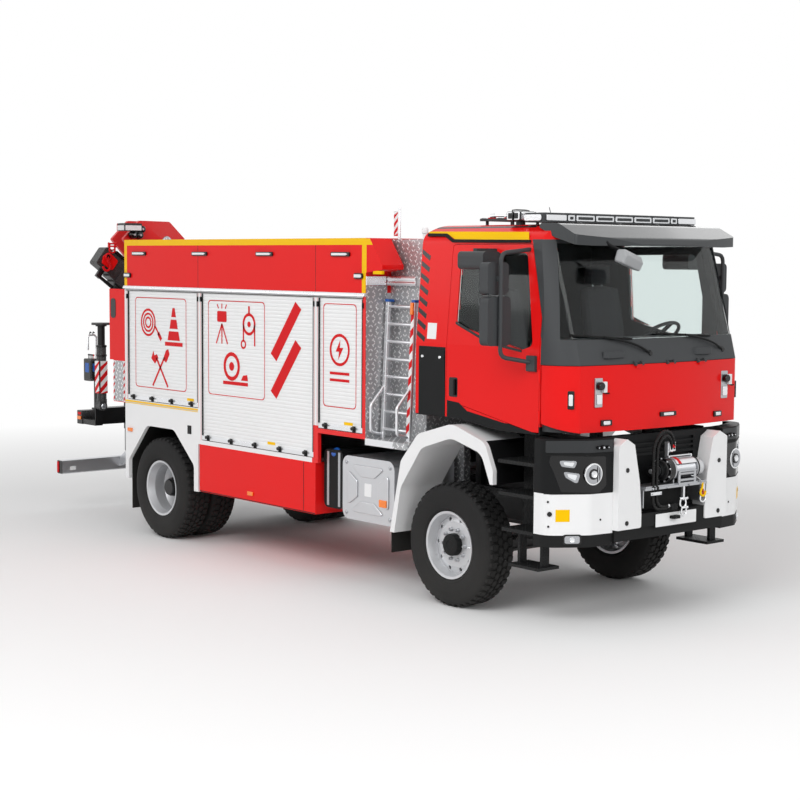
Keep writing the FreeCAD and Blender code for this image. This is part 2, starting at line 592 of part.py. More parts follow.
def cab():
    shell = cab_solid().cut(cab_solid(CAB_WALL))
    glass_skin = cab_solid(14.0).cut(cab_solid(14.0 + GLASS_T))
    doors, windows = {}, {}
    floor_edge = CAB_HALF - CAB_WALL
    floor_zone = [box((AXLE_F - 300, AXLE_F + 1300), (-half, half), (1500, 1770)) for half in (floor_edge - SEAM, floor_edge)]
    for side, name in ((1, "left"), (-1, "right")):
        opening = side_cut(grown(DOOR, 0.001), side).cut(floor_zone[0])
        leaf = side_cut(grown(DOOR, -SEAM), side).cut(floor_zone[1])
        leaf = leaf.cut(box((AXLE_F + 985, AXLE_F + 1100), (-1400, 1400), (1500, 1620)))
        aperture = side_cut(grown(DOOR_WINDOW, 0.001), side)
        pane = side_cut(grown(DOOR_WINDOW, -0.5), side)
        doors[name] = shell.common(leaf).cut(aperture)
        windows[name] = glass_skin.common(pane)
        shell = shell.cut(opening)
        save(f"door_glass_{name}", [windows[name]])
    screen = glass_skin.common(screen_cut(0.5))
    save("windscreen", [screen])
    shell = shell.cut(screen_cut(0.0))
    ahead = AXLE_F + 1080.0
    far = AXLE_F + 1800.0
    flap_zone = box((ahead, far), (-1300, 1300), (CAB_FLOOR_Z - 10, PANEL_TOP_Z))
    cowl_zone = box((ahead, far), (-1300, 1300), (PANEL_TOP_Z, SCREEN_BOTTOM_Z))
    frame_zone = prism("y", -1300, 1300, [(ahead, SCREEN_BOTTOM_Z), (far, SCREEN_BOTTOM_Z), (far, SCREEN_TOP_Z + 30),
                                          (AXLE_F + 890, SCREEN_TOP_Z + 30), (AXLE_F + 905, SCREEN_TOP_Z - 5)])
    skin = 26.0
    flap_skin = cab_solid().cut(cab_solid(skin))
    flap_side = [(ahead + SEAM, PANEL_TOP_Z - SEAM), (ahead + SEAM, 1700), (AXLE_F + 1370, 1630), (far, 1630),
                 (far, PANEL_TOP_Z - SEAM)]
    flap = flap_skin.common(prism("y", -1300, 1300, flap_side))
    front_wall = cab_solid(skin + SEAM).cut(cab_solid(CAB_WALL)).common(flap_zone)
    surround = [front_wall, shell.common(cowl_zone), shell.common(frame_zone)]
    shell = shell.cut(flap_zone).cut(cowl_zone).cut(frame_zone)
    flap = flap.cut(fused(both(rod("z", (CAB_CORNER_X, -CAB_HALF - HINGE_OUT), 18.0, 1600, 2200))))
    surround = fused(surround)
    flap, surround = hinged("y", (FLAP_HINGE_X, FLAP_HINGE_Z), (-400.0, 0.0, 400.0), flap, surround, (-1, -1))
    save("windscreen_surround", [surround])
    save("front_flap", [flap])
    for side, name in ((1, "left"), (-1, "right")):
        at = (CAB_CORNER_X, side * (CAB_HALF + HINGE_OUT))
        doors[name], shell = hinged("z", at, (1720.0, 2050.0), doors[name], shell, (-1, -side))
        save(f"door_{name}", [doors[name]])
    shell = fused([shell] + seat_bases())
    save("cab_shell", [shell])
    return surround, shell


def seat_bases():
    floor = CAB_ARCH_Z + CAB_WALL
    x = SEAT_X
    return [soft_box((x - 30, x + 300), (y - 190, y + 190), (floor - 1, floor + SEAT_BASE_H), 40.0) for y in SEAT_YS]


def seat_cushions():
    cushions = []
    x, base = SEAT_X, CAB_ARCH_Z + CAB_WALL + SEAT_BASE_H + FIT
    for y in SEAT_YS:
        cushions.append(soft_box((x - 70, x + 410), (y - 240, y + 240), (base, base + 130), 50.0))
        cushions.append(prism("y", y - 240, y + 240, [(x - 60, base + 130 + FIT, 30), (x + 60, base + 130 + FIT, 40),
                                                      (x - 70, base + 790, 40), (x - 190, base + 790, 40)]))
        cushions.append(soft_box((x - 185, x - 85), (y - 140, y + 140), (base + 790 + FIT, base + 1000), 30.0))
    save("seat_cushions", cushions)


def cab_fittings(frames):
    """Sun visor, roof lamps and rack, seats, dashboard and steering wheel."""
    skin = cab_solid(-FIT)
    lip = prism("y", -1010, 1010, [(AXLE_F + 905, 3340, 40), (AXLE_F + 1130, 3330, 120), (AXLE_F + 1365, 3215, 40),
                                   (AXLE_F + 1395, 3155, 12), (AXLE_F + 1340, 3150, 10), (AXLE_F + 1090, 3215, 60),
                                   (AXLE_F + 905, 3300)])
    bow = Part.Face(cab_plan(-5.0)).translated(V(-60.0, 0, 3100)).extrude(V(0, 0, 400))
    save("sun_visor", [lip.common(bow).cut(skin).cut(frames[0]).cut(frames[1])])
    bar_x, bar_z = AXLE_F + 790.0, CAB_ROOF_Z + 14.0
    housing = soft_box((bar_x - 130, bar_x + 130), (-970, 970), (bar_z, bar_z + 78), 60.0)
    feet = [box((bar_x - 60, bar_x + 20), (s * 620 - 60, s * 620 + 60), (CAB_ROOF_Z - 40, bar_z)) for s in (-1, 1)]
    light_bar = fused([housing] + feet).cut(skin)
    lamp = soft_box((AXLE_F + 430, AXLE_F + 600), (-930, -760), (CAB_ROOF_Z + 30, CAB_ROOF_Z + 110), 20.0, "x")
    foot = rod("z", (AXLE_F + 515, -845), 40.0, CAB_ROOF_Z - 40, CAB_ROOF_Z + 30)
    rack = [soft_box((AXLE_F - 60, AXLE_F + 380), (-800, -400), (CAB_ROOF_Z + 36, CAB_ROOF_Z + 56), 30.0)]
    rack += [rod("z", (AXLE_F + x, y), 14.0, CAB_ROOF_Z - 40, CAB_ROOF_Z + 36) for x in (0, 320) for y in (-750, -450)]
    save("roof_gear", [light_bar, fused([lamp, foot]).cut(skin), fused(rack).cut(skin)])
    seat_cushions()
    front_floor = CAB_FLOOR_Z + CAB_WALL
    dash = prism("y", -1080, 1080, [(AXLE_F + 1405, front_floor + 200), (AXLE_F + 1405, 2330, 40), (AXLE_F + 900, 2380, 60),
                                    (AXLE_F + 850, 2200, 60), (AXLE_F + 1000, 2050, 60), (AXLE_F + 1150, front_floor + 200)])
    room = cab_solid(CAB_WALL + FIT)
    wheel = Part.makeTorus(215, 16, V(0, 0, 0), V(0, 0, 1))
    spokes = [box((-205, 205), (-22, 22), (-10, 10)), rod("z", (0, 0), 60.0, -26, 14), rod("z", (0, 0), 34.0, -360, -20)]
    lever = fused([wheel] + spokes).rotated(V(0, 0, 0), V(0, 1, 0), -38).translated(V(AXLE_F + 760, SEAT_YS[1], 2350))
    save("dashboard", [fused([dash.common(room), lever])])


def mirrors():
    """Right door's mirrors: two housings on a bent arm, and the kerb mirror above the window."""
    out = CAB_HALF + 255.0
    skin = cab_solid(-FIT)
    arm_x = AXLE_F + 870.0
    upper = soft_box((arm_x - 140, arm_x - 40), (-out - 110, -out + 125), (2745, 3010), 40.0, "x")
    lower = soft_box((arm_x - 120, arm_x - 20), (-out - 125, -out + 135), (2330, 2730), 45.0, "x")
    arm = pipe([(arm_x, -CAB_HALF + 100, 3120), (arm_x, -out, 3085), (arm_x, -out, 2240), (arm_x + 120, -CAB_HALF + 10, 2190)],
               18.0, 60.0)
    stubs = [box((arm_x - 45, arm_x + 1), (-out - 12, -out + 12), (z, z + 40)) for z in (2500, 2860)]
    foot = soft_box((arm_x + 70, arm_x + 170), (-CAB_HALF - 30, -CAB_HALF + 20), (2120, 2250), 12.0, "x")
    side = soft_box((AXLE_F + 330, AXLE_F + 640), (-out + 10, -CAB_HALF - 40), (2950, 3100), 40.0, "x")
    bracket = box((AXLE_F + 430, AXLE_F + 480), (-CAB_HALF - 160, -CAB_HALF + 100), (3085, 3125))
    return [fused([upper, lower, arm, foot] + stubs).cut(skin), fused([side, bracket]).cut(skin)]


# ---------------------------------------------------------------- body
def body_structure(inside):
    """Hollow box body: cross walls, decks, spine walls, bulkheads and locker floors, a hair apart."""
    gap = SHEET_GAP
    rear_in, front_in = BODY_REAR + WALL, BODY_FRONT - WALL
    spine_out = RAIL_OUT + WALL
    deck_top, ceiling = BODY_DECK_Z + WALL, CORNICE_LOW - 30
    sheets = [
        box((BODY_REAR, rear_in), (-inside + gap, inside - gap), (BODY_DECK_Z, CORNICE_LOW - gap)),
        box((front_in, BODY_FRONT), (-inside + gap, inside - gap), (BODY_SILL_FRONT - 45, CORNICE_LOW - gap)),
        box((rear_in + gap, front_in - gap), (-spine_out, spine_out), (BODY_DECK_Z, deck_top)),
        box((rear_in + gap, front_in - gap), (-inside + gap, inside - gap), (ceiling, CORNICE_LOW - gap)),
        box((rear_in + gap, front_in - gap), (-inside + gap, inside - gap), (LOCKER_TOP - 30, LOCKER_TOP)),
    ]
    sheets += both(box((rear_in + gap, front_in - gap), (-RAIL_OUT, -RAIL_OUT + 70), (RAIL_TOP, BODY_DECK_Z - gap)))
    sheets += both(box((rear_in + gap, front_in - gap), (-spine_out, -RAIL_OUT), (deck_top + gap, ceiling - gap)))
    walls_at = [BAYS[0][1] + 20, BAYS[1][1] + 20]
    edges = [rear_in] + [x for at in walls_at for x in (at, at + 30)] + [front_in]
    for at in walls_at:
        sheets += both(box((at, at + 30), (-inside + gap, -spine_out - gap), (BAYS[0][2], ceiling - gap)))
    for i, (low_x, high_x, sill) in enumerate(BAYS):
        start, end = edges[2 * i] + gap, edges[2 * i + 1] - gap
        if i == 1:
            start, end = low_x, high_x
        sheets += both(box((start, end), (-inside + gap, -spine_out - gap), (sill - 45, sill - 9)))
    return sheets


def bay_frame(inside):
    """Posts, heads and sill bars round one side's shutters."""
    edges = [(BODY_REAR, BAYS[0][0]), (BAYS[0][1], BAYS[1][0]), (BAYS[1][1], BAYS[2][0]), (BAYS[2][1], BODY_FRONT)]
    sills = [BAYS[0][2], BAYS[1][2], BAYS[1][2], BAYS[2][2]]
    pieces = [box(edge, (-BODY_HALF, -inside), (sill - 45, CORNICE_LOW)) for edge, sill in zip(edges, sills)]
    for low, high, sill in BAYS:
        pieces.append(box((low, high), (-BODY_HALF, -inside), (SHUTTER_TOP, CORNICE_LOW)))
        pieces.append(box((low, high), (-BODY_HALF, -inside), (sill - 45, sill)))
    return fused(pieces)


def body():
    rear_in, front_in = BODY_REAR + WALL, BODY_FRONT - WALL
    inside = BODY_HALF - WALL
    save("body_structure", body_structure(inside))
    cornice = box((BODY_REAR - 6, BODY_FRONT), (-BODY_HALF - 12, BODY_HALF + 12), (CORNICE_LOW, CORNICE_TOP))
    cornice = cornice.cut(box((rear_in, front_in), (-inside, inside), (CORNICE_LOW - 1, CORNICE_TOP + 1)))
    save("bay_frames", [fused([cornice] + both(bay_frame(inside)))])
    slats = []
    outer, inner = -BODY_HALF + SHUTTER_IN, -BODY_HALF + SHUTTER_IN + SHUTTER_T
    for low, high, sill in BAYS:
        count = round((SHUTTER_TOP - sill) / SLAT_PITCH)
        pitch = (SHUTTER_TOP - sill) / count
        ribs = []
        for i in range(count):
            z = SHUTTER_TOP - i * pitch
            ribs += [(outer, z), (outer, z - pitch + 9), (outer + 4, z - pitch + 5), (outer + 4, z - pitch)]
        slats.append(prism("x", low, high, ribs + [(inner, sill), (inner, SHUTTER_TOP)]))
    save("shutters", [s for slat in slats for s in both(slat)])
    arch = [(AXLE_R - 630, 500), (AXLE_R - 630, 800, 60), (AXLE_R - 250, 1205, 120), (AXLE_R + 290, 1205, 120),
            (AXLE_R + 680, 860, 80), (AXLE_R + 680, 500)]
    quarter = box((BODY_REAR, BAYS[0][1]), (-BODY_HALF, -inside), (BODY_BOTTOM - 10, BAYS[0][2] - 45))
    quarter = quarter.cut(prism("y", -BODY_HALF - 1, -inside + 1, arch))
    liner_out = [(AXLE_R - 640, 640), (AXLE_R - 640, 804, 66), (AXLE_R - 254, 1215, 126), (AXLE_R + 294, 1215, 126),
                 (AXLE_R + 690, 864, 86), (AXLE_R + 690, 640)]
    liner = prism("y", -inside, -RAIL_OUT - 75, liner_out).cut(prism("y", -inside - 1, -RAIL_OUT, arch))
    rear_flap = box((AXLE_R - 640, AXLE_R - 630), (-inside + 5, -610), (250, 700))
    front_flap = box((AXLE_F - 702, AXLE_F - 692), (-(BODY_HALF - 15), -800), (390, 579.5))
    save("wheel_arches", both(fused([liner, rear_flap])) + both(front_flap))
    low_box = box((AXLE_F - 3810, AXLE_F - 1815), (-BODY_HALF, -RAIL_OUT - 60), (BODY_BOTTOM, BAYS[1][2] - 45))
    side_panel = box((BODY_REAR - 330, BODY_REAR), (-BODY_HALF, -inside), (1890, 2680))
    stay = box((BODY_REAR - 250, BODY_REAR), (-BODY_HALF, -inside), (1425, 1890))
    upper = box((BODY_REAR, BODY_FRONT), (-BODY_HALF, BODY_HALF), (CORNICE_TOP, BODY_TOP))
    upper = upper.cut(box((rear_in, front_in), (-inside, inside), (CORNICE_TOP - 1, BODY_TOP + 1)))
    fairing = prism("y", -BODY_HALF, -NICHE_Y - 50, [(BODY_FRONT, 2905), (BODY_FRONT + 235, 2935, 6), (BODY_FRONT + 235, 2975, 12),
                                                     (BODY_FRONT + 55, BODY_TOP - 5, 12), (BODY_FRONT, BODY_TOP - 5)])
    save("red_panels", both(low_box) + both(fused([side_panel, stay])) + [upper] + both(fairing))
    return quarter


# ---------------------------------------------------------------- ladder niche between body and cab
NICHE_Y = 950.0
NICHE_FRONT = AXLE_F - 560.0
STEP_Z = 1395.0
LADDER_LEAN = 2.7
ROOF_MARKER_TOP = 3500.0


def niche():
    rear, front, half, skin = BODY_FRONT, NICHE_FRONT, NICHE_Y, 15.0
    low, high = STEP_Z, BODY_TOP - 10
    pieces = both(box((rear, front), (-half, -half + skin), (low, high - skin)))
    pieces.append(box((front - skin, front), (-half, half), (low, high - skin)))
    pieces.append(prism("y", -half, half, [(rear, high - skin), (rear, high), (front - 60, high), (front, high - skin)]))
    pieces += both(prism("z", STEP_Z - 60, STEP_Z, [(rear, -BODY_HALF), (NICHE_FRONT + 60, -BODY_HALF, 60),
                                                    (NICHE_FRONT + 60, -half), (rear, -half)]))
    pieces.append(box((rear, front), (-half, half), (STEP_Z - 60, STEP_Z)))
    pieces += both(box((rear, front), (-half - 45, -half), (2790, 2875)))
    pieces += both(box((rear + 60, front - 60), (-RAIL_OUT, -RAIL_OUT + RAIL_W), (RAIL_TOP, STEP_Z - 60)))
    column = box((BODY_REAR - 250, BODY_REAR), (-BODY_HALF + WALL, -BODY_HALF + 240), (1425, 1889))
    save("treadplate_panels", [fused(pieces)] + both(column))
    x0, x1, y = AXLE_F - 1030.0, AXLE_F - 660.0, -half - 46.0
    ladder = [soft_box((x - 22, x + 22), (y - 35, y), (STEP_Z - 20, 2640), 8.0) for x in (x0, x1)]
    pitch = (2640 - STEP_Z - 120) / 7
    ladder += [rod("x", (y - 18, STEP_Z + 80 + i * pitch), 15.0, x0 + 10, x1 - 10) for i in range(8)]
    ladder = fused(ladder).rotated(V(0, y, 2640), V(1, 0, 0), -LADDER_LEAN)
    rails = []
    for x in (x0, x1):
        rails.append(pipe([(x, y - 48, 1886), (x, -BODY_HALF + 35, 1700), (x, -BODY_HALF + 35, STEP_Z + 60),
                           (x, y - 68, STEP_Z + 26)], 14.0, 40.0))
    ladder = fused([ladder] + rails).cut(box((x0 - 100, x1 + 100), (-BODY_HALF, -half), (STEP_Z - 60, STEP_Z)))
    marker = fused([rod("z", (AXLE_F - 980, -half + 20), 14.0, BODY_TOP - 10, ROOF_MARKER_TOP),
                    box((AXLE_F - 1055, AXLE_F - 980), (-half + 17, -half + 23), (BODY_TOP + 20, ROOF_MARKER_TOP - 30))])
    save("ladders", both(ladder) + [marker])


# ---------------------------------------------------------------- front end
def front_end(quarter):
    arch = [(AXLE_F - 705, 580), (AXLE_F - 560, 1240, 80), (AXLE_F - 330, 1500, 120), (AXLE_F + 120, 1625, 220),
            (AXLE_F + 530, 1500, 120), (AXLE_F + 635, 1270, 60), (AXLE_F + 635, 1150), (AXLE_F + 600, 1150),
            (AXLE_F + 490, 1400, 140), (AXLE_F + 110, 1500, 240), (AXLE_F - 280, 1380, 160), (AXLE_F - 560, 1000, 160),
            (AXLE_F - 645, 580)]
    guard = fused([prism("y", -BODY_HALF, -760.0, arch),
                   box((AXLE_F - 650, AXLE_F - 615), (-762, -RAIL_OUT), (780, 820))])
    save("wheel_guards", both(guard) + both(quarter))
    outline = [(AXLE_F + 1100, -1225), (AXLE_F + 1250, -1225, 160), (AXLE_F + 1450, -930, 120), (AXLE_F + 1480, -690),
               (AXLE_F + 1340, -690), (AXLE_F + 1310, -860, 60), (AXLE_F + 1190, -1165, 60), (AXLE_F + 1100, -1165)]
    low, shoulder, lamp_top, band_top = 800, 1140, 1430, 1585
    upright = prism("x", AXLE_F + 1402.5, AXLE_F + 1540, [(-690, 822), (-406, 822, 20), (-406, 935), (-430, 1200, 200),
                                                        (-500, 1520, 10), (-591, 1572, 10), (-690, 1521, 10)])
    centre = box((AXLE_F + 1402.5, AXLE_F + 1530), (-405.5, 405.5), (821, 935))
    tow_lug = soft_box((AXLE_F + 1500, AXLE_F + 1588), (-45, 45), (865, 890), 20.0)
    save("bumper_white", both(fused([prism("z", low, shoulder, outline), upright])))
    housing = prism("z", shoulder, band_top, outline)
    lamp_at, lamp_way = V(AXLE_F + 1459, -905, 1300), V(0.99, -0.13, 0)
    housing = housing.cut(Part.makeCylinder(92.0, 60, lamp_at - lamp_way * 14, lamp_way))
    lens = Part.makeCone(86.0, 60.0, 14, lamp_at - lamp_way * 15, lamp_way)
    housings = both(fused([housing, lens]))
    grille = box((AXLE_F + 1340, AXLE_F + 1402), (-690, 690), (shoulder, band_top))
    grille = grille.cut(box((AXLE_F + 1362, AXLE_F + 1403), (-402, 402), (shoulder + 10, 1400)))
    grille = grille.cut([box((AXLE_F + 1384, AXLE_F + 1403), (-400, 400), (z, z + 26)) for z in (1424, 1466, 1508)])
    apron = fused(both(prism("z", 700, low, outline)) + [box((AXLE_F + 1402.5, AXLE_F + 1500), (-690, 690), (720, 821.5)),
                                                        centre, tow_lug])
    apron = apron.cut(rod("z", (AXLE_F + 1560, 0), TOW_BORE_R, 860, 895))
    tray_back = box((AXLE_F + 1340, AXLE_F + 1402), (-405, 405), (930, shoulder))
    save("bumper_black", [fused(housings + [grille, tray_back]), apron])
    axis = (AXLE_F + 1478, 1272)
    drum = [rod("y", axis, *piece) for piece in
            ((45.0, -225, -90), (56.0, -150, -90), (106.0, -90, -14), (98.0, -14, -2), (78.0, -2, 262), (98.0, 262, 274),
             (72.0, 274, 380))]
    base = box((AXLE_F + 1402.5, AXLE_F + 1560), (-380, 390), (1150, 1162))
    cheeks = [box((AXLE_F + 1404, AXLE_F + 1550), (y0, y0 + 12), (1161, 1285)) for y0 in (-26, 262)]
    tray = box((AXLE_F + 1402, AXLE_F + 1570), (-395, 395), (1130, 1150))
    side_plates = [box((AXLE_F + 1402, AXLE_F + 1545), (y0, y0 + 10), (984, 1131)) for y0 in (-395, 330)]
    fairlead = [rod("z", (AXLE_F + 1566, y0), 14.0, 1161, 1262) for y0 in (30, 230)]
    fairlead += [rod("y", (AXLE_F + 1566, z), 13.0, 20, 240) for z in (1185, 1240)]
    fairlead += [box((AXLE_F + 1545, AXLE_F + 1585), (10, 250), (1150, 1166)), box((AXLE_F + 1550, AXLE_F + 1582), (10, 250), (1256, 1266))]
    save("winch", [fused(drum + [base, tray] + cheeks + side_plates + fairlead)])
    steps = []
    back_y = -880.0
    for x0, z in ((642, 1370), (650, 1100), (700, 800)):
        steps.append(box((AXLE_F + x0, AXLE_F + 1095), (-1200, back_y - 30), (z - 30, z)))
    steps.append(box((AXLE_F + 660, AXLE_F + 1095), (back_y - 30, back_y), (740, 1560)))
    steps.append(box((AXLE_F + 1065, AXLE_F + 1095), (-1200, back_y - 30), (770, 1340)))
    hang = [box((AXLE_F + 770, AXLE_F + 1130), (-1190, -950), (480, 505))]
    hang += [box((AXLE_F + x, AXLE_F + x + 30), (-1110, -1030), (505, 770)) for x in (800, 1064)]
    arms = [box((AXLE_F + x, AXLE_F + x + 50), (back_y, -RAIL_OUT), (800, 880)) for x in (700, 1040)]
    save("cab_steps", both(fused(steps + hang + arms)))


# ---------------------------------------------------------------- crane, outriggers and rear bar
def along(start, end, half_depth, low, high, radius=0.0, extra=0.0):
    """A boom: a bar between two (y, z) points, with square ends run past them, extruded along X."""
    ahead = (V(0, *end) - V(0, *start)).normalize()
    side = V(0, -ahead.z, ahead.y) * half_depth
    a, b = V(0, *start) - ahead * extra, V(0, *end) + ahead * extra
    spots = [a - side, b - side, b + side, a + side]
    return prism("x", low, high, [(p.y, p.z) for p in spots], radius)


def crane_base():
    """Pedestal across the frame rails, with the tunnel for the two outrigger beams and the control box."""
    x = CRANE_X
    block = soft_box((x - 250, x + 160), (-RAIL_OUT, RAIL_OUT), (RAIL_TOP, CRANE_DECK_Z), 30.0)
    housing = box((BEAM_X - 75, BEAM_X + 75), (-1000, 1000), (BEAM_Z - 95, BEAM_Z + 95))
    tunnel = box((BEAM_X - 59, BEAM_X + 59), (-1001, 1001), (BEAM_Z - 79, BEAM_Z + 79))
    post = box((BEAM_X - 20, BEAM_X + 20), (-1000, -960), (BEAM_Z + 90, 1595))
    desk = soft_box((BEAM_X - 110, BEAM_X + 60), (-1080, -980), (1590, 1850), 20.0, "y")
    save("crane_base", [fused([block, housing, post, desk]).cut(tunnel)])


def crane_column():
    x = CRANE_X
    flange = rod("z", (x, 0), 165.0, CRANE_DECK_Z + 0.5, CRANE_DECK_Z + 60)
    neck = prism("x", x - 150, x + 150, [(-160, CRANE_DECK_Z + 59), (160, CRANE_DECK_Z + 59), (160, 2050, 80), (-130, 2720, 60),
                                         (-130, 2860), (-390, 2860, 40), (-310, 2500, 200)])
    cheek = [(-130, 2760), (60, 3060, 80), (210, 3250, 20), (-10, 3456, 50), (-425, 3462, 40), (-650, 3243, 20), (-390, 2960, 80),
             (-390, 2760)]
    ears = [prism("x", low, low + 45, cheek) for low in (x - 150, x + 105)]
    ears.append(soft_box((x + 149, x + 330), (-730, -500), (3335, 3425), 12.0, "x"))
    bore = rod("x", (PIVOT_Y, PIVOT_Z), PIVOT_R + FIT, x - 200, x + 200)
    foot_pin = rod("x", (LIFT_FOOT_Y, LIFT_FOOT_Z), LIFT_PIN_R, LIFT_X - 30, x - 150)
    save("crane_column", [fused([fused([flange, neck] + ears).cut(bore), foot_pin])])


def booms():
    x = CRANE_X
    pivot, knuckle, tip = V(0, PIVOT_Y, PIVOT_Z), V(0, KNUCKLE_Y, KNUCKLE_Z), V(0, TIP_Y, TIP_Z)
    boom = along((PIVOT_Y, PIVOT_Z), (KNUCKLE_Y, KNUCKLE_Z), 150.0, x - BOOM_W / 2, x + BOOM_W / 2, 40.0, 150.0)
    pin = rod("x", (PIVOT_Y, PIVOT_Z), PIVOT_R, x - 160, x + 160)
    knuckle_bore = rod("x", (KNUCKLE_Y, KNUCKLE_Z), 45.0 + FIT, x - 110, x + 110)
    eye = (LIFT_EYE_Y, LIFT_EYE_Z)
    lug = [rod("x", eye, 60.0, x - BOOM_W / 2, x - 50), rod("x", eye, 25.0, LIFT_X + 31, x - 50)]
    save("inner_boom", [fused([boom, pin] + lug).cut(knuckle_bore)])
    low, high = OUTER_X - OUTER_W / 2, OUTER_X + OUTER_W / 2
    ahead = (tip - knuckle).normalize()

    def spot(run):
        at = knuckle + ahead * run
        return (at.y, at.z)

    shell = along(spot(160), spot(1900), 150.0, low, high)
    cavity = along(spot(160), spot(1950), 136.0, low + 14, high - 14)
    root = along(spot(0), spot(160), 150.0, low, high)
    heel = rod("x", (KNUCKLE_Y, KNUCKLE_Z), 150.0, low, high)
    cross_pin = rod("x", (KNUCKLE_Y, KNUCKLE_Z), 45.0, x - 115, low)
    beneath = V(0, -ahead.z, ahead.y) * 192.0
    ram_x = (low + high) / 2

    def ram(run, radius, start):
        return Part.makeCylinder(radius, run - start, V(ram_x, 0, 0) + knuckle + ahead * start + beneath, ahead)

    barrel = ram(1840, 40.0, 520).cut(ram(1900, 20.0 + FIT, 560))
    lugs = [along(spot(start), spot(start + 60), 190.0, ram_x - 20, ram_x + 20) for start in (540, 1700)]
    lugs = [lug.cut(along(spot(400), spot(1950), 149.0, low, high)).cut(ram(1900, 38.0, 500)) for lug in lugs]
    lugs = [lug.common(prism("x", low, high, [(p.y, p.z) for p in (knuckle, knuckle + ahead * 2100, knuckle + ahead * 2100 + beneath * 2,
                                                                  knuckle + beneath * 2)])) for lug in lugs]
    save("outer_boom", [fused([shell.cut(cavity), root, heel, cross_pin, barrel] + lugs)])
    slide = along(spot(300), spot(1990), 135.5, low + 14.5, high - 14.5)
    head = along(spot(1920), (TIP_Y, TIP_Z), 120.0, low + 14.5, high - 14.5, 30.0)
    eye = along(spot(2040), spot(2100), 215.0, ram_x - 20, ram_x + 20)
    eye = eye.common(prism("x", low, high, [(p.y, p.z) for p in (knuckle, knuckle + ahead * 2300, knuckle + ahead * 2300 + beneath * 2,
                                                                 knuckle + beneath * 2)]))
    save("boom_extension", [fused([slide, head, eye, ram(2090, 20.0, 660)])])


def lift_cylinder():
    """The lift cylinder beside the column: its foot is pinned, and the rod's eye is the open pivot."""
    run = V(0, LIFT_EYE_Y - LIFT_FOOT_Y, LIFT_EYE_Z - LIFT_FOOT_Z)
    lean = math.degrees(math.atan2(run.y, run.z))

    def placed(shape):
        return shape.rotated(V(0, 0, 0), V(1, 0, 0), -lean).translated(V(LIFT_X, LIFT_FOOT_Y, LIFT_FOOT_Z))

    barrel = fused([rod("z", (0, 0), 48.0, 60, 1000), rod("x", (0, 0), 52.0, -28, 28), box((-28, 28), (-40, 40), (0, 61))])
    barrel = barrel.cut(rod("x", (0, 0), LIFT_PIN_R + FIT, -60, 60)).cut(rod("z", (0, 0), 30.0 + FIT, 80, 1001))
    ram = fused([rod("z", (0, 0), 30.0, 150.0, run.Length), rod("x", (0, run.Length), 46.0, -26, 26)])
    save("lift_barrel", [placed(barrel)])
    save("lift_rod", [placed(ram.cut(rod("x", (0, run.Length), 26.0, -60, 60)))])


def outriggers():
    x, beam_in = BEAM_X, BEAM_X + 58
    for side, turn in (("right", lambda s: s), ("left", mirrored)):
        beam = box((x - 58, beam_in), (-1200, -60), (BEAM_Z - 78.5, BEAM_Z + 78.5))
        arm = box((beam_in, LEG_X - 62), (-1195, -1105), (BEAM_Z - 75, BEAM_Z - 15))
        cheek = prism("x", LEG_X - 75, LEG_X - 62, [(-LEG_Y - 45, BEAM_Z - 75), (-LEG_Y + 45, BEAM_Z - 75),
                                                   (-LEG_Y + 45, LEG_PIVOT_Z + 45, 30), (-LEG_Y - 45, LEG_PIVOT_Z + 45, 30)])
        pin = rod("x", (-LEG_Y, LEG_PIVOT_Z), 22.0, LEG_X - 75, LEG_X + 40)
        save(f"outrigger_beam_{side}", [turn(fused([beam, arm, cheek, pin]))])
        tube = fused([rod("z", (LEG_X, -LEG_Y), 55.0, LEG_PIVOT_Z + 60, LEG_PIVOT_Z + 700),
                      rod("x", (-LEG_Y, LEG_PIVOT_Z), 50.0, LEG_X - 55, LEG_X + 40),
                      box((LEG_X - 50, LEG_X + 40), (-LEG_Y - 45, -LEG_Y + 45), (LEG_PIVOT_Z, LEG_PIVOT_Z + 80))])
        tube = tube.cut(rod("x", (-LEG_Y, LEG_PIVOT_Z), 22.0 + FIT, LEG_X - 80, LEG_X + 60))
        tube = tube.cut(rod("z", (LEG_X, -LEG_Y), 42.0 + FIT, LEG_PIVOT_Z + 120, LEG_PIVOT_Z + 701))
        save(f"outrigger_leg_{side}", [turn(tube)])
        foot = fused([rod("z", (LEG_X, -LEG_Y), 42.0, LEG_PIVOT_Z + 150, LEG_PIVOT_Z + 930),
                      rod("z", (LEG_X, -LEG_Y), 110.0, LEG_PIVOT_Z + 930, LEG_PIVOT_Z + 955)])
        save(f"outrigger_foot_{side}", [turn(foot)])
    bar_x = -OVERALL_LENGTH / 2
    bar = soft_box((bar_x, bar_x + 120), (-1200, 1200), (460, 620), 15.0, "y")
    stay = prism("y", -RAIL_OUT, -RAIL_OUT + 60, [(bar_x + 120, 500), (FRAME_REAR + 300, RAIL_BOTTOM), (FRAME_REAR + 10, RAIL_BOTTOM),
                                                 (bar_x + 120, 595)])
    save("underrun_bar", [fused([bar] + both(stay))])


wheels()
chassis(running_gear())
side_tanks()
cab_fittings(cab())
for name, turn in (("right", lambda s: s), ("left", mirrored)):
    save(f"mirrors_{name}", [turn(m) for m in mirrors()])
front_end(body())
niche()
crane_base()
crane_column()
booms()
lift_cylinder()
outriggers()
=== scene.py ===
# %% [markdown]
# # Rescue truck
# A two-axle rescue truck, built round its CAD parts.
# Metres, in the row frame: +X forward, +Y to the truck's left, +Z up.

# %% The frame and the driving places
import math

import bmesh
import bpy
from mathutils import Matrix, Vector


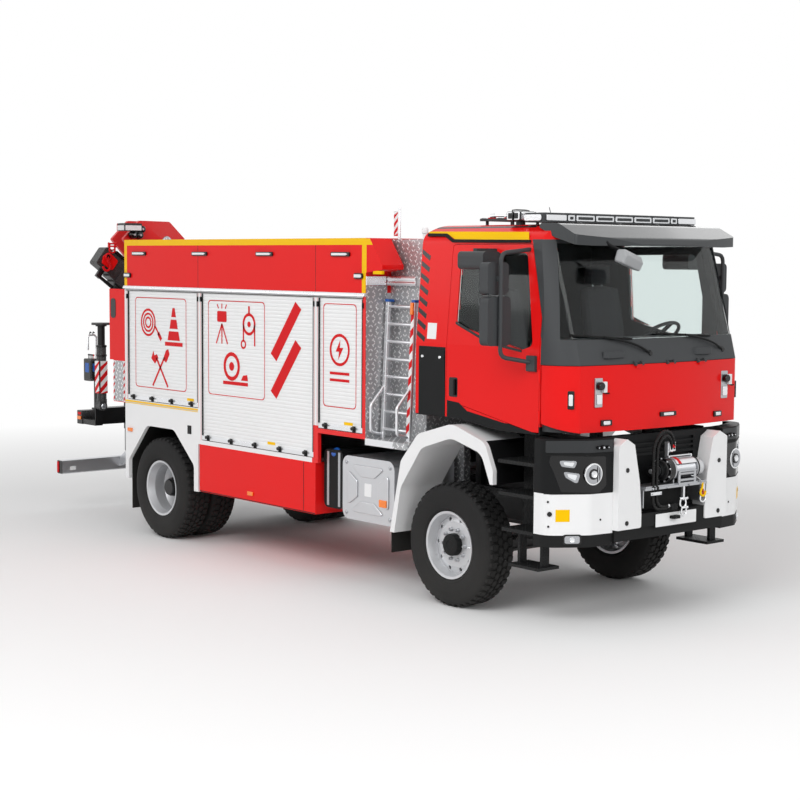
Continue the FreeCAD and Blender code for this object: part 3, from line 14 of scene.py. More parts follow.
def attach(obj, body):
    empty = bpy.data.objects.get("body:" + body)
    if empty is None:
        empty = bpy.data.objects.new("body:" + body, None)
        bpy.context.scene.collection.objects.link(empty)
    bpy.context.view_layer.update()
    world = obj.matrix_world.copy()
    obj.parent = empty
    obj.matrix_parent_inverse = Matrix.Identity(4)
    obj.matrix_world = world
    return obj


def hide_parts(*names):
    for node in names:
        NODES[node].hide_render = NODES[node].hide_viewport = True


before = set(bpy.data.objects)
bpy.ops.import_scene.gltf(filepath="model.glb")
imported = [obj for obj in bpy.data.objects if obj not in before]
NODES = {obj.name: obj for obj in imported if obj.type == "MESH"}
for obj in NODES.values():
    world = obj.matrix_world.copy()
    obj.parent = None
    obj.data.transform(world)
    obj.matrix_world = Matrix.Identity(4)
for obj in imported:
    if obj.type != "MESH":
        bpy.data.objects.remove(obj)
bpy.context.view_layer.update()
F = 2.685                                # front axle's X, from which most places are measured
R = -1.915                               # rear axle's X
AXLE_Z = 0.545
HALF = 1.25                              # half width of the locker body
BODY_REAR, BODY_FRONT = F - 5.30, F - 1.07


print(f"{len(NODES)} CAD nodes")

# %% [markdown]
# ## Shader groups
# Paint, rubber and metal all show grain, worn edges and settled dust. Each material could draw them
# itself; groups are built once and given other values, so all finishes age alike. They feed only base
# colour, roughness and bump height.

# %% Shader groups
def new_group(name, inputs, outputs):
    group = bpy.data.node_groups.new(name, "ShaderNodeTree")
    for label, kind, value in inputs:
        s = group.interface.new_socket(name=label, in_out="INPUT", socket_type=kind)
        s.default_value = value
    for label, kind in outputs:
        group.interface.new_socket(name=label, in_out="OUTPUT", socket_type=kind)
    ends = group.nodes.new("NodeGroupInput"), group.nodes.new("NodeGroupOutput")
    return group, ends[0], ends[1]


def math_node(tree, op, a, b=None, c=None, clamp=False):
    node = tree.nodes.new("ShaderNodeMath")
    node.operation = op
    node.use_clamp = clamp
    for i, v in enumerate((a, b, c)):
        if v is None:
            continue
        if isinstance(v, (int, float)):
            node.inputs[i].default_value = v
        else:
            tree.links.new(v, node.inputs[i])
    return node.outputs[0]


def mix_color(tree, factor, a, b):
    node = tree.nodes.new("ShaderNodeMix")
    node.data_type = "RGBA"
    for socket, v in ((node.inputs[0], factor), (node.inputs[6], a), (node.inputs[7], b)):
        if isinstance(v, (int, float)):
            socket.default_value = v
        elif isinstance(v, (tuple, list)):
            socket.default_value = (*v[:3], 1.0)
        else:
            tree.links.new(v, socket)
    return node.outputs[2]


# %% Surface group
def surface_group():
    """Slight colour drift, wear on exposed edges, and a fine orange-peel or grain height."""
    group, gin, gout = new_group(
        "surface",
        [("Color", "NodeSocketColor", (0.5, 0.5, 0.5, 1)),
         ("Wear Color", "NodeSocketColor", (0.6, 0.6, 0.6, 1)),
         ("Roughness", "NodeSocketFloat", 0.4), ("Grain Scale", "NodeSocketFloat", 400.0),
         ("Variation", "NodeSocketFloat", 0.1), ("Wear", "NodeSocketFloat", 0.0),
         ("Dust", "NodeSocketFloat", 0.0)],
        [("Color", "NodeSocketColor"), ("Roughness", "NodeSocketFloat"), ("Height", "NodeSocketFloat")])
    t = group
    coord = t.nodes.new("ShaderNodeTexCoord")
    broad = t.nodes.new("ShaderNodeTexNoise")
    broad.inputs["Scale"].default_value = 1.7
    broad.inputs["Detail"].default_value = 4.0
    fine = t.nodes.new("ShaderNodeTexNoise")
    fine.inputs["Detail"].default_value = 3.0
    for n in (broad, fine):
        t.links.new(coord.outputs["Object"], n.inputs["Vector"])
    t.links.new(gin.outputs["Grain Scale"], fine.inputs["Scale"])
    drift = math_node(t, "MULTIPLY", math_node(t, "SUBTRACT", broad.outputs["Fac"], 0.5),
                      gin.outputs["Variation"])
    shade = t.nodes.new("ShaderNodeHueSaturation")
    t.links.new(gin.outputs["Color"], shade.inputs["Color"])
    t.links.new(math_node(t, "ADD", drift, 1.0), shade.inputs["Value"])
    geo = t.nodes.new("ShaderNodeNewGeometry")
    edge = math_node(t, "MULTIPLY", math_node(t, "SUBTRACT", geo.outputs["Pointiness"], 0.53), 12.0,
                     clamp=True)
    edge = math_node(t, "MULTIPLY", edge, math_node(t, "GREATER_THAN", fine.outputs["Fac"], 0.52))
    edge = math_node(t, "MULTIPLY", edge, gin.outputs["Wear"])
    worn = mix_color(t, edge, shade.outputs["Color"], gin.outputs["Wear Color"])
    sep = t.nodes.new("ShaderNodeSeparateXYZ")
    t.links.new(coord.outputs["Object"], sep.inputs[0])
    low = math_node(t, "MULTIPLY", math_node(t, "SUBTRACT", 1.2, sep.outputs[2]), 0.8, clamp=True)
    dust = math_node(t, "MULTIPLY", math_node(t, "MULTIPLY", low, broad.outputs["Fac"]), gin.outputs["Dust"],
                     clamp=True)
    t.links.new(mix_color(t, dust, worn, (0.36, 0.34, 0.31)), gout.inputs["Color"])
    rough = math_node(t, "ADD", gin.outputs["Roughness"],
                      math_node(t, "MULTIPLY", math_node(t, "SUBTRACT", broad.outputs["Fac"], 0.5), 0.12))
    t.links.new(math_node(t, "ADD", rough, math_node(t, "MULTIPLY", dust, 0.4), clamp=True),
                gout.inputs["Roughness"])
    t.links.new(fine.outputs["Fac"], gout.inputs["Height"])
    return group


# %% Band group
def band_group():
    """1 between two values of a coordinate, 0 outside them."""
    group, gin, gout = new_group(
        "band", [("Value", "NodeSocketFloat", 0.0), ("Low", "NodeSocketFloat", 0.0),
                 ("High", "NodeSocketFloat", 1.0)],
        [("Mask", "NodeSocketFloat")])
    above = math_node(group, "GREATER_THAN", gin.outputs["Value"], gin.outputs["Low"])
    below = math_node(group, "LESS_THAN", gin.outputs["Value"], gin.outputs["High"])
    group.links.new(math_node(group, "MULTIPLY", above, below), gout.inputs["Mask"])
    return group


def tread_plate_group():
    """Five-bar style tread plate: short raised bars in two alternating directions."""
    group, gin, gout = new_group("tread_plate", [("Vector", "NodeSocketVector", (0, 0, 0)),
                                                 ("Pitch", "NodeSocketFloat", 0.03)],
                                 [("Height", "NodeSocketFloat")])
    t = group
    scale = t.nodes.new("ShaderNodeVectorMath")
    scale.operation = "DIVIDE"
    comb = t.nodes.new("ShaderNodeCombineXYZ")
    for i in range(3):
        t.links.new(gin.outputs["Pitch"], comb.inputs[i])
    t.links.new(gin.outputs["Vector"], scale.inputs[0])
    t.links.new(comb.outputs[0], scale.inputs[1])
    sep = t.nodes.new("ShaderNodeSeparateXYZ")
    t.links.new(scale.outputs[0], sep.inputs[0])
    u = math_node(t, "ADD", sep.outputs[0], sep.outputs[1])
    w = sep.outputs[2]
    a = math_node(t, "ADD", u, w)
    b = math_node(t, "SUBTRACT", u, w)

    def bars(along, across):
        row = math_node(t, "FLOOR", across)
        side = math_node(t, "ABSOLUTE", math_node(t, "SUBTRACT", math_node(t, "FRACT", across), 0.5))
        shifted = math_node(t, "ADD", along, math_node(t, "MULTIPLY", row, 0.5))
        run = math_node(t, "ABSOLUTE",
                        math_node(t, "SUBTRACT",
                                  math_node(t, "FRACT", math_node(t, "MULTIPLY", shifted, 0.5)), 0.5))
        near = math_node(t, "SUBTRACT", 1.0, math_node(t, "MULTIPLY", side, 5.5), clamp=True)
        cap = math_node(t, "SUBTRACT", 1.0, math_node(t, "MULTIPLY", math_node(t, "SUBTRACT", run, 0.14),
                                                      14.0), clamp=True)
        return math_node(t, "MULTIPLY", near, cap)

    first = bars(a, b)
    second = bars(math_node(t, "ADD", b, 1.0), math_node(t, "ADD", a, 0.5))
    t.links.new(math_node(t, "MAXIMUM", first, second), gout.inputs["Height"])
    return group


SURFACE, BAND, TREAD = surface_group(), band_group(), tread_plate_group()
print(f"{len(bpy.data.node_groups)} shader groups")

# %% [markdown]
# ## Materials
# The truck has gloss paint, bare aluminium, plastics, rubber and glass. A colour change on one sheet could
# be a second mesh; here it is a zone of the material, as the real sheet is painted, not joined.

# %% Materials
def material(name, color, rough=0.4, metal=0.0, coat=0.0, grain=500.0, bump=0.0002, variation=0.08, wear=0.0,
             wear_color=(0.5, 0.5, 0.5), dust=0.0, zones=(), height=None, height_m=0.0015, pitch=0.055,
             gloss=0.5):
    """A paint, plastic or metal.

    zones are (colour, [(axis, low, high), ...]) painted over it in order; the axis ay is |Y|.
    height="tread" adds raised bars at the given pitch, height_m high; the bars get a painted highlight and
    the ground between them painted shade.
    """
    mat = bpy.data.materials.new(name)
    mat.use_nodes = True
    t = mat.node_tree
    shader = t.nodes["Principled BSDF"]
    shader.inputs["Metallic"].default_value = metal
    shader.inputs["Coat Weight"].default_value = coat
    shader.inputs["Coat Roughness"].default_value = 0.06
    shader.inputs["Specular IOR Level"].default_value = gloss
    surf = t.nodes.new("ShaderNodeGroup")
    surf.node_tree = SURFACE
    for key, value in (("Roughness", rough), ("Grain Scale", grain), ("Variation", variation), ("Wear", wear),
                       ("Dust", dust)):
        surf.inputs[key].default_value = value
    surf.inputs["Wear Color"].default_value = (*wear_color, 1)
    coord = t.nodes.new("ShaderNodeTexCoord")
    sep = t.nodes.new("ShaderNodeSeparateXYZ")
    t.links.new(coord.outputs["Object"], sep.inputs[0])
    axes = {"x": sep.outputs[0], "y": sep.outputs[1], "z": sep.outputs[2],
            "ay": math_node(t, "ABSOLUTE", sep.outputs[1])}
    current = (*color, 1.0)
    for zone_color, limits in zones:
        mask = None
        for axis, low, high in limits:
            band = t.nodes.new("ShaderNodeGroup")
            band.node_tree = BAND
            t.links.new(axes[axis], band.inputs["Value"])
            band.inputs["Low"].default_value = low
            band.inputs["High"].default_value = high
            mask = band.outputs[0] if mask is None else math_node(t, "MULTIPLY", mask, band.outputs[0])
        current = mix_color(t, mask, current, zone_color)
    if isinstance(current, tuple):
        surf.inputs["Color"].default_value = current
    else:
        t.links.new(current, surf.inputs["Color"])
    t.links.new(surf.outputs["Color"], shader.inputs["Base Color"])
    t.links.new(surf.outputs["Roughness"], shader.inputs["Roughness"])
    bump_node = t.nodes.new("ShaderNodeBump")
    bump_node.inputs["Distance"].default_value = 1.0
    total = math_node(t, "MULTIPLY", surf.outputs["Height"], bump)
    if height == "tread":
        plate = t.nodes.new("ShaderNodeGroup")
        plate.node_tree = TREAD
        plate.inputs["Pitch"].default_value = pitch
        t.links.new(coord.outputs["Object"], plate.inputs["Vector"])
        total = math_node(t, "ADD", total, math_node(t, "MULTIPLY", plate.outputs[0], height_m))
        # painted highlight on the raised bars (1.5 × the colour) and painted shade on the ground between them
        # (0.6 ×)
        base = surf.inputs["Color"].default_value[:3]
        bar_highlight_and_shade = mix_color(t, plate.outputs[0], [c * 0.60 for c in base], [min(1.0, c * 1.5) for c in base])
        t.links.new(bar_highlight_and_shade, surf.inputs["Color"])
    t.links.new(total, bump_node.inputs["Height"])
    t.links.new(bump_node.outputs[0], shader.inputs["Normal"])
    return mat


# %% Glass
def glass(name, color, rough=0.03):
    """Clear glass or lens with a slight ripple in its roughness."""
    mat = bpy.data.materials.new(name)
    mat.use_nodes = True
    t = mat.node_tree
    shader = t.nodes["Principled BSDF"]
    shader.inputs["Base Color"].default_value = (*color, 1)
    shader.inputs["Transmission Weight"].default_value = 1.0
    shader.inputs["IOR"].default_value = 1.25
    noise = t.nodes.new("ShaderNodeTexNoise")
    noise.inputs["Scale"].default_value = 3.0
    t.links.new(math_node(t, "ADD", math_node(t, "MULTIPLY", noise.outputs["Fac"], 0.03), rough),
                shader.inputs["Roughness"])
    return mat


RED, WHITE = (0.80, 0.010, 0.010), (0.84, 0.845, 0.85)
BLACK, YELLOW = (0.007, 0.007, 0.0075), (0.93, 0.55, 0.0)
TRIM = (0.030, 0.032, 0.034)
SEAM_GREY, CORNICE_GREY = (0.55, 0.56, 0.58), (0.62, 0.64, 0.66)
RED_PAINT = dict(color=RED, rough=0.22, coat=0.05, gloss=0.14, grain=900, bump=0.00004, variation=0.05)
WHITE_PAINT = dict(color=WHITE, rough=0.3, grain=900, bump=0.00004, variation=0.04)

# the cab's inside is trimmed in dark grey, within its walls and below its roof
INSIDE = [(TRIM, [("x", F - 0.445, F + 1.07), ("z", low, high), ("ay", 0.0, half)])
          for low, high, half in ((1.66, 2.30, 1.138), (2.30, 2.60, 1.113), (2.60, 2.90, 1.088),
                                  (2.90, 3.20, 1.063))]
INSIDE.append((TRIM, [("x", F - 0.445, F + 0.80), ("z", 3.20, 3.315), ("ay", 0.0, 0.95)]))
EDGE = ("ay", 1.2495, 1.3)                # the body's outer faces
UPPER = ("z", 2.7, 3.3)
REAR_BAND = ("x", BODY_REAR - 0.01, F - 3.84)

mats = {
    "red": material("red_paint", **RED_PAINT),
    "cab_red": material("cab_red", **RED_PAINT, zones=INSIDE + [
        (BLACK, [("x", F - 0.44, F - 0.085), ("z", 1.60, 2.27), ("ay", 0.9, 1.3)]),
        (BLACK, [("z", 1.50, 1.668)])]),
    "door_red": material("door_red", **RED_PAINT, zones=INSIDE),
    "panels_red": material("panels_red", **RED_PAINT, zones=[
        (YELLOW, [("z", 3.158, 3.3), EDGE]),
        (YELLOW, [UPPER, ("x", BODY_REAR - 0.01, BODY_REAR + 0.055), EDGE]),
        (YELLOW, [UPPER, ("x", BODY_FRONT - 0.055, BODY_FRONT + 0.01), EDGE]),
        (BLACK, [("z", 2.72, 3.158), ("x", F - 3.834, F - 3.828)]),
        (BLACK, [("z", 2.72, 3.158), ("x", F - 1.824, F - 1.818)])]),
    "flap_red": material("flap_red", **RED_PAINT, zones=[(BLACK, [("z", 2.176, 2.40)])]),
    "white": material("white_paint", **WHITE_PAINT, coat=0.25),
    "frames_white": material("frames_white", **WHITE_PAINT, coat=0.2, gloss=0.3, zones=[
        (RED, [("x", F - 1.87, F - 1.765), ("z", 1.08, 1.455)]),
        (RED, [("x", BODY_FRONT - 0.04, BODY_FRONT + 0.02), ("z", 1.3, 2.69)]),
        (RED, [("z", 1.3, 1.43), ("x", F - 1.85, BODY_FRONT + 0.02)]),
        (YELLOW, [("z", 1.412, 1.462), REAR_BAND]),
        (SEAM_GREY, [("z", 1.433, 1.441), REAR_BAND]),
        (CORNICE_GREY, [("z", 2.688, 2.73)])]),
    "guards_white": material("guards_white", WHITE, 0.35, coat=0.3, gloss=0.3, grain=700, bump=0.00006,
                             variation=0.04, dust=0.1,
                             zones=[(BLACK, [("x", F + 0.50, F + 2.0), ("y", -1.205, 1.205)])]),
    "black": material("black_paint", BLACK, 0.35, coat=0.1, gloss=0.25, grain=600, bump=0.0001, variation=0.2,
                      wear=0.25),
    "red_crane": material("crane_black", BLACK, 0.35, coat=0.1, gloss=0.3, grain=600, bump=0.0001, wear=0.2,
                          zones=[
        (RED, [("z", 2.9, 3.6)]),
        (BLACK, [("x", F - 6.330, F - 6.150), ("y", -0.75, -0.49), ("z", 3.33, 3.44)])]),
    "plastic": material("black_plastic", (0.006, 0.0065, 0.007), 0.5, gloss=0.15, grain=1500, bump=0.0003,
                        variation=0.2, dust=0.05),
    "grey_plastic": material("grey_plastic", (0.042, 0.045, 0.048), 0.5, gloss=0.3, grain=1500, bump=0.0003,
                             variation=0.15),
    "pale_plastic": material("pale_plastic", (0.36, 0.37, 0.38), 0.35, grain=900, bump=0.00008, gloss=0.4),
    "gloss_black": material("gloss_black", (0.004, 0.004, 0.0045), 0.14, coat=0.25, gloss=0.3, grain=900,
                            bump=0.00003),
    "band_grey": material("band_grey", (0.022, 0.024, 0.026), 0.4, grain=900, bump=0.0001, gloss=0.35),
    "visor": material("visor", (0.020, 0.024, 0.027), 0.2, coat=0.25, gloss=0.4, grain=900, bump=0.00003),
    "interior": material("interior", (0.022, 0.024, 0.026), 0.6, gloss=0.25, grain=900, bump=0.0004),
    "blue": material("blue_plastic", (0.01, 0.10, 0.42), 0.35, grain=800, bump=0.0001),
    "rubber": material("rubber", (0.008, 0.008, 0.008), 0.7, gloss=0.2, grain=1200, bump=0.0004,
                       variation=0.3, dust=0.15),
    "tyre": material("tyre_rubber", (0.010, 0.010, 0.0105), 0.72, gloss=0.2, grain=700, bump=0.0006,
                     variation=0.4, dust=0.12),
    "aluminium": material("aluminium", (0.62, 0.63, 0.65), 0.33, metal=0.9, grain=350, variation=0.12),
    "bright": material("bright_aluminium", (0.80, 0.81, 0.83), 0.28, metal=0.85, grain=350, bump=0.0001),
    "tread": material("tread_plate", (0.66, 0.67, 0.69), 0.36, metal=0.6, grain=350, variation=0.1,
                      height="tread", height_m=0.0022),
    "step_tread": material("step_tread", (0.012, 0.0125, 0.013), 0.55, grain=700, bump=0.0003, gloss=0.25,
                           height="tread", height_m=0.004, pitch=0.030),
    "silver": material("wheel_silver", (0.60, 0.61, 0.63), 0.38, metal=0.55, grain=700, bump=0.0001,
                       variation=0.1, dust=0.3),
    "steel": material("steel", (0.45, 0.46, 0.48), 0.35, metal=0.95, variation=0.2, wear=0.2),
    "cast": material("cast_iron", (0.03, 0.03, 0.032), 0.6, metal=0.3, grain=300, bump=0.0008, variation=0.3,
                     dust=0.3),
    "chrome": material("chrome", (0.85, 0.86, 0.87), 0.08, metal=1.0, bump=0.00002, variation=0.03),
    "reflector": material("reflector", (0.42, 0.43, 0.45), 0.22, metal=0.95, grain=60, bump=0.0015,
                          variation=0.3),
    "lamp_white": material("lamp_white", (0.80, 0.82, 0.84), 0.15, metal=0.4, coat=0.8, grain=120,
                           bump=0.0010),
    "orange": material("orange_lens", (0.95, 0.22, 0.01), 0.2, coat=0.6, grain=400, bump=0.0001),
    "yellow": material("yellow_film", YELLOW, 0.35, gloss=0.12, grain=900, bump=0.00004),
    "signal_red": material("signal_red", (0.66, 0.008, 0.012), 0.4, gloss=0.14, grain=900, bump=0.00004),
    "fabric": material("seat_fabric", (0.03, 0.03, 0.035), 0.85, grain=1800, bump=0.0008, variation=0.3),
    "glass": glass("cab_glass", (0.86, 0.91, 0.90)),
    "side_glass": glass("side_glass", (0.80, 0.86, 0.85)),
    "lens": glass("clear_lens", (0.95, 0.97, 1.0), 0.02),
}
print(f"{len(mats)} materials")

# %% [markdown]
# ## CAD nodes get their materials
# The frame file holds the truck's solid parts. They could be drawn again, but they are exact as they are, so
# all but the few that detailed pieces replace further on keep their meshes and only get a finish.

# %% CAD nodes get their materials
FINISH = {                               # material: the nodes that wear it; the rest are black
    "cab_red": "cab_shell", "door_red": "door_right door_left", "flap_red": "front_flap",
    "panels_red": "red_panels",
    "frames_white": "bay_frames", "white": "bumper_white shutters", "guards_white": "wheel_guards",
    "plastic": "bumper_black side_tanks", "rubber": "wheel_arches", "interior": "dashboard",
    "step_tread": "cab_steps",
    "grey_plastic": "windscreen_surround mirrors_left mirrors_right roof_gear", "fabric": "seat_cushions",
    "aluminium": "fuel_tank body_structure underrun_bar", "tread": "treadplate_panels", "bright": "ladders",
    "visor": "sun_visor", "glass": "windscreen", "side_glass": "door_glass_left door_glass_right",
    "cast": "engine_block front_axle rear_axle knuckle_left knuckle_right", "steel": "winch tie_rod",
    "chrome": "lift_rod", "red_crane": "crane_column",
    "silver": "wheel_front_left wheel_front_right wheel_rear_left wheel_rear_right",
    "tyre": "tyre_front_left tyre_front_right tyres_rear_left tyres_rear_right",
}
finish_of = {node: finish for finish, nodes in FINISH.items() for node in nodes.split()}
for name, obj in NODES.items():
    obj.data.materials.clear()
    obj.data.materials.append(mats[finish_of.get(name, "black")])

# %% [markdown]
# ## Mesh helpers
# Most fittings on a truck are sawn, turned or bent. Each way has its helper: a flat outline is extruded, a
# profile is turned, a bar follows a path. Sharing them keeps edges and seams alike.

# %% Mesh helpers
def finish_piece(obj, mat, body="chassis", bevel=0.0, smooth=True):
    """Gives a piece its material, slot and body, eased edges and smooth shading between them."""
    obj.data.materials.append(mats[mat])
    if bevel:
        mod = obj.modifiers.new("edges", "BEVEL")
        mod.width = bevel
        mod.segments = 2
        mod.limit_method = "ANGLE"
        mod.angle_limit = math.radians(40)
    if smooth and obj.type == "MESH":
        for p in obj.data.polygons:
            p.use_smooth = True
        mod = obj.modifiers.new("normals", "WEIGHTED_NORMAL")
        mod.keep_sharp = True
        obj.data.set_sharp_from_angle(angle=math.radians(40))
    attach(obj, body)
    return obj


def linked(name, data):
    """A new object in the scene."""
    obj = bpy.data.objects.new(name, data)
    bpy.context.scene.collection.objects.link(obj)
    return obj


def thicken(obj, depth, offset):
    mod = obj.modifiers.new("thickness", "SOLIDIFY")
    mod.thickness = depth
    mod.offset = offset


# %% Turning, circles and meshes
def turn_about(obj, at, degrees, axis):
    at = Vector(at)
    turn = Matrix.Rotation(math.radians(degrees), 4, axis)
    obj.data.transform(Matrix.Translation(at) @ turn @ Matrix.Translation(-at))


def around(count, radius, u=0.0, w=0.0, start=0.0):
    """Points spaced evenly on a circle about (u, w)."""
    turns = [2 * math.pi * i / count + start for i in range(count)]
    return [(u + radius * math.cos(a), w + radius * math.sin(a)) for a in turns]


def link_mesh(name, verts, faces):
    mesh = bpy.data.meshes.new(name)
    mesh.from_pydata([tuple(v) for v in verts], [], faces)
    bm = bmesh.new()
    bm.from_mesh(mesh)
    bmesh.ops.recalc_face_normals(bm, faces=bm.faces)
    bm.to_mesh(mesh)
    bm.free()
    return linked(name, mesh)


AXES = {"x": (1, 2, 0), "y": (0, 2, 1), "z": (0, 1, 2)}


# %% Extruded pieces
def solid(name, axis, low, high, outline, mat, body="chassis", bevel=0.003):
    """A flat outline drawn in the two other axes, extruded along one axis, with rounded edges."""
    i, j, k = AXES[axis]
    verts = []
    for level in (low, high):
        for p in outline:
            v = [0.0, 0.0, 0.0]
            v[i], v[j], v[k] = p[0], p[1], level
            verts.append(v)
    n = len(outline)
    faces = [list(range(n)), list(range(n, 2 * n))] + [[a, (a + 1) % n, n + (a + 1) % n, n + a]
                                                       for a in range(n)]
    return finish_piece(link_mesh(name, verts, faces), mat, body, bevel)


def rounded(points, radius, steps=5):
    """Corner-rounded copy of a closed outline."""
    out = []
    n = len(points)
    for i, p in enumerate(points):
        r = p[2] if len(p) > 2 else radius
        here = Vector(p[:2])
        before, after = Vector(points[i - 1][:2]) - here, Vector(points[(i + 1) % n][:2]) - here
        half = before.angle(after, math.pi) / 2
        if r <= 0 or half > math.pi / 2 - 0.02:
            out.append(tuple(here))
            continue
        cut = min(r / math.tan(half), before.length * 0.49, after.length * 0.49)
        a, b = here + before.normalized() * cut, here + after.normalized() * cut
        for s in range(steps + 1):
            t = s / steps
            out.append(tuple(a * (1 - t) ** 2 + here * 2 * t * (1 - t) + b * t ** 2))
    return out


# %% Rectangles and turned pieces
def rect(x0, x1, y0, y1, radius=0.0, steps=4):
    pts = [(x0, y0), (x1, y0), (x1, y1), (x0, y1)]
    return rounded(pts, radius, steps) if radius else pts


def lathe(name, profile, axis, centre, mat, body="chassis", count=48):
    """A profile of (radius, run along the axis) turned about an axis through centre."""
    i, j, k = AXES[axis]
    verts, faces = [], []
    n = len(profile)
    for s in range(count):
        a = 2 * math.pi * s / count
        for r, w in profile:
            v = [0.0, 0.0, 0.0]
            v[i], v[j], v[k] = centre[i] + r * math.cos(a), centre[j] + r * math.sin(a), centre[k] + w
            verts.append(v)
    for s in range(count):
        o = (s + 1) % count
        faces += [[s * n + q, s * n + q + 1, o * n + q + 1, o * n + q] for q in range(n - 1)]
    obj = link_mesh(name, verts, faces)
    bm = bmesh.new()
    bm.from_mesh(obj.data)
    bmesh.ops.remove_doubles(bm, verts=bm.verts, dist=1e-5)
    bmesh.ops.holes_fill(bm, edges=[e for e in bm.edges if e.is_boundary], sides=0)
    bmesh.ops.recalc_face_normals(bm, faces=bm.faces)
    bm.to_mesh(obj.data)
    bm.free()
    return finish_piece(obj, mat, body)


# %% Bars and hoses
def tube(name, points, radius, mat, body="chassis", order=3, cyclic=False, resolution=8):
    """A round bar or hose along a smooth path."""
    curve = bpy.data.curves.new(name, "CURVE")
    curve.dimensions = "3D"
    curve.bevel_depth = radius
    curve.bevel_resolution = 4
    curve.use_fill_caps = True
    spline = curve.splines.new("NURBS" if order > 2 else "POLY")
    spline.points.add(len(points) - 1)
    for p, q in zip(spline.points, points):
        p.co = (*q, 1.0)
    if order > 2:
        spline.order_u = order
        spline.use_endpoint_u = not cyclic
        spline.resolution_u = resolution
    spline.use_cyclic_u = cyclic
    obj = linked(name, curve)
    obj.data.materials.append(mats[mat])
    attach(obj, body)
    return obj


def sided(make):
    """Calls make(name of the side, sign of its Y) for both sides; the right side is at -Y."""
    for suffix, s in (("right", -1), ("left", 1)):
        make(suffix, s)


# %% Side plates
def span(a, b):
    return (min(a, b), max(a, b))


def plate(name, s, inner, outer, outline, mat, body="chassis", bevel=0.003):
    """A flat piece on the side of sign s, between two half widths, with its outline in X-Z."""
    return solid(name, "y", *span(s * inner, s * outer), outline, mat, body, bevel)


# %% [markdown]
# ## Tyres
# A truck tyre is a moulded carcass with side ribs and a blocky tread. A bump could suggest the blocks; they
# are meshes laid round a turned carcass, because the grooves show against the light.

# %% Tyres
TYRE_R, RIM_R, PITCHES = 0.545, 0.2985, 44


def tyre_mesh(cx, cy, cz):
    """One tyre's vertices and faces. Its tread has two centre rows and two shoulder rows of blocks."""
    bead, flange, bulge = 0.131, 0.148, 0.165
    half = [(0.2863, bead), (RIM_R + 0.004, bead), (RIM_R + 0.012, flange), (RIM_R + 0.030, flange + 0.010),
            (RIM_R + 0.034, flange + 0.008), (RIM_R + 0.060, bulge - 0.002), (RIM_R + 0.095, bulge),
            (RIM_R + 0.125, bulge),
            (RIM_R + 0.129, bulge - 0.003), (TYRE_R - 0.085, bulge - 0.004), (TYRE_R - 0.058, bulge - 0.012),
            (TYRE_R - 0.034, bulge - 0.022), (TYRE_R - 0.022, bulge - 0.040), (TYRE_R - 0.018, bulge - 0.070),
            (TYRE_R - 0.016, 0.0)]
    profile = half + [(r, -w) for r, w in reversed(half[:-1])]
    verts, faces = [], []
    count, n = 88, len(profile)
    for s in range(count):
        a = 2 * math.pi * s / count
        verts += [(cx + r * math.cos(a), cy + w, cz + r * math.sin(a)) for r, w in profile]
    for s in range(count):
        o = (s + 1) % count
        for q in range(n):
            faces.append((s * n + q, s * n + (q + 1) % n, o * n + (q + 1) % n, o * n + q))

    def block(points, low, high):
        """points are (turn in pitches, across, drop of the top)"""
        start = len(verts)
        k = len(points)
        for top in (0, 1):
            for turn, across, drop in points:
                mid_t = sum(p[0] for p in points) / k
                mid_a = sum(p[1] for p in points) / k
                shrink = 0.90 if top else 1.0
                tt, ww = mid_t + (turn - mid_t) * shrink, mid_a + (across - mid_a) * shrink
                a = 2 * math.pi * tt / PITCHES
                r = (high - drop) if top else (low - drop)
                verts.append((cx + r * math.cos(a), cy + ww, cz + r * math.sin(a)))
        faces.append(tuple(start + k + q for q in range(k)))
        for q in range(k):
            faces.append((start + q, start + (q + 1) % k, start + k + (q + 1) % k, start + k + q))

    low, high = TYRE_R - 0.022, TYRE_R
    for i in range(PITCHES):
        for side in (-1, 1):
            o = 0.25 * side
            block([(i + 0.06 + o, 0.006 * side, 0), (i + 0.56 + o, 0.004 * side, 0),
                   (i + 0.86 + o, 0.026 * side, 0),
                   (i + 0.72 + o, 0.052 * side, 0), (i + 0.20 + o, 0.054 * side, 0),
                   (i - 0.04 + o, 0.030 * side, 0)], low, high)
            o = 0.25 * side + 0.42
            block([(i + 0.10 + o, 0.060 * side, 0), (i + 0.74 + o, 0.060 * side, 0),
                   (i + 0.80 + o, 0.096 * side, 0.001),
                   (i + 0.70 + o, 0.118 * side, 0.004), (i + 0.14 + o, 0.118 * side, 0.004),
                   (i + 0.00 + o, 0.092 * side, 0.001)],
                  low, high)
            lug = (0.72 if i % 2 else 0.58)
            block([(i + 0.16 + o, 0.119 * side, 0.004), (i + 0.70 + o, 0.119 * side, 0.004),
                   (i + lug + o, 0.152 * side, 0.052),
                   (i + 0.20 + o, 0.152 * side, 0.052)], low - 0.004, high - 0.002)
    return verts, faces


# %% Tyres on their wheels
def tyres(node, body, places):
    verts, faces = [], []
    for x, y in places:
        v, f = tyre_mesh(x, y, AXLE_Z)
        faces += [tuple(i + len(verts) for i in face) for face in f]
        verts += v
    obj = link_mesh(node + "_tread", verts, faces)
    finish_piece(obj, "tyre", body)
    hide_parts(node)


for suffix, s in (("right", -1), ("left", 1)):
    tyres(f"tyre_front_{suffix}", f"wheel_front_{suffix}", [(F, s * 1.025)])
    tyres(f"tyres_rear_{suffix}", f"wheel_rear_{suffix}", [(R, s * 0.7525), (R, s * 1.0825)])

# %% [markdown]
# ## Wheel details
# Hub covers and nuts finish each wheel. A loop sets the nuts evenly on their bolt circle, which placing them
# one by one would not.

# %% Wheel details
def wheel_nuts(name, s, x, face, radius, profile, body):
    for i, (u, w) in enumerate(around(10, radius, x, AXLE_Z)):
        lathe(f"{name}_{i}", [(r, s * run) for r, run in profile], "y", (u, face, w), "steel", body, 6)


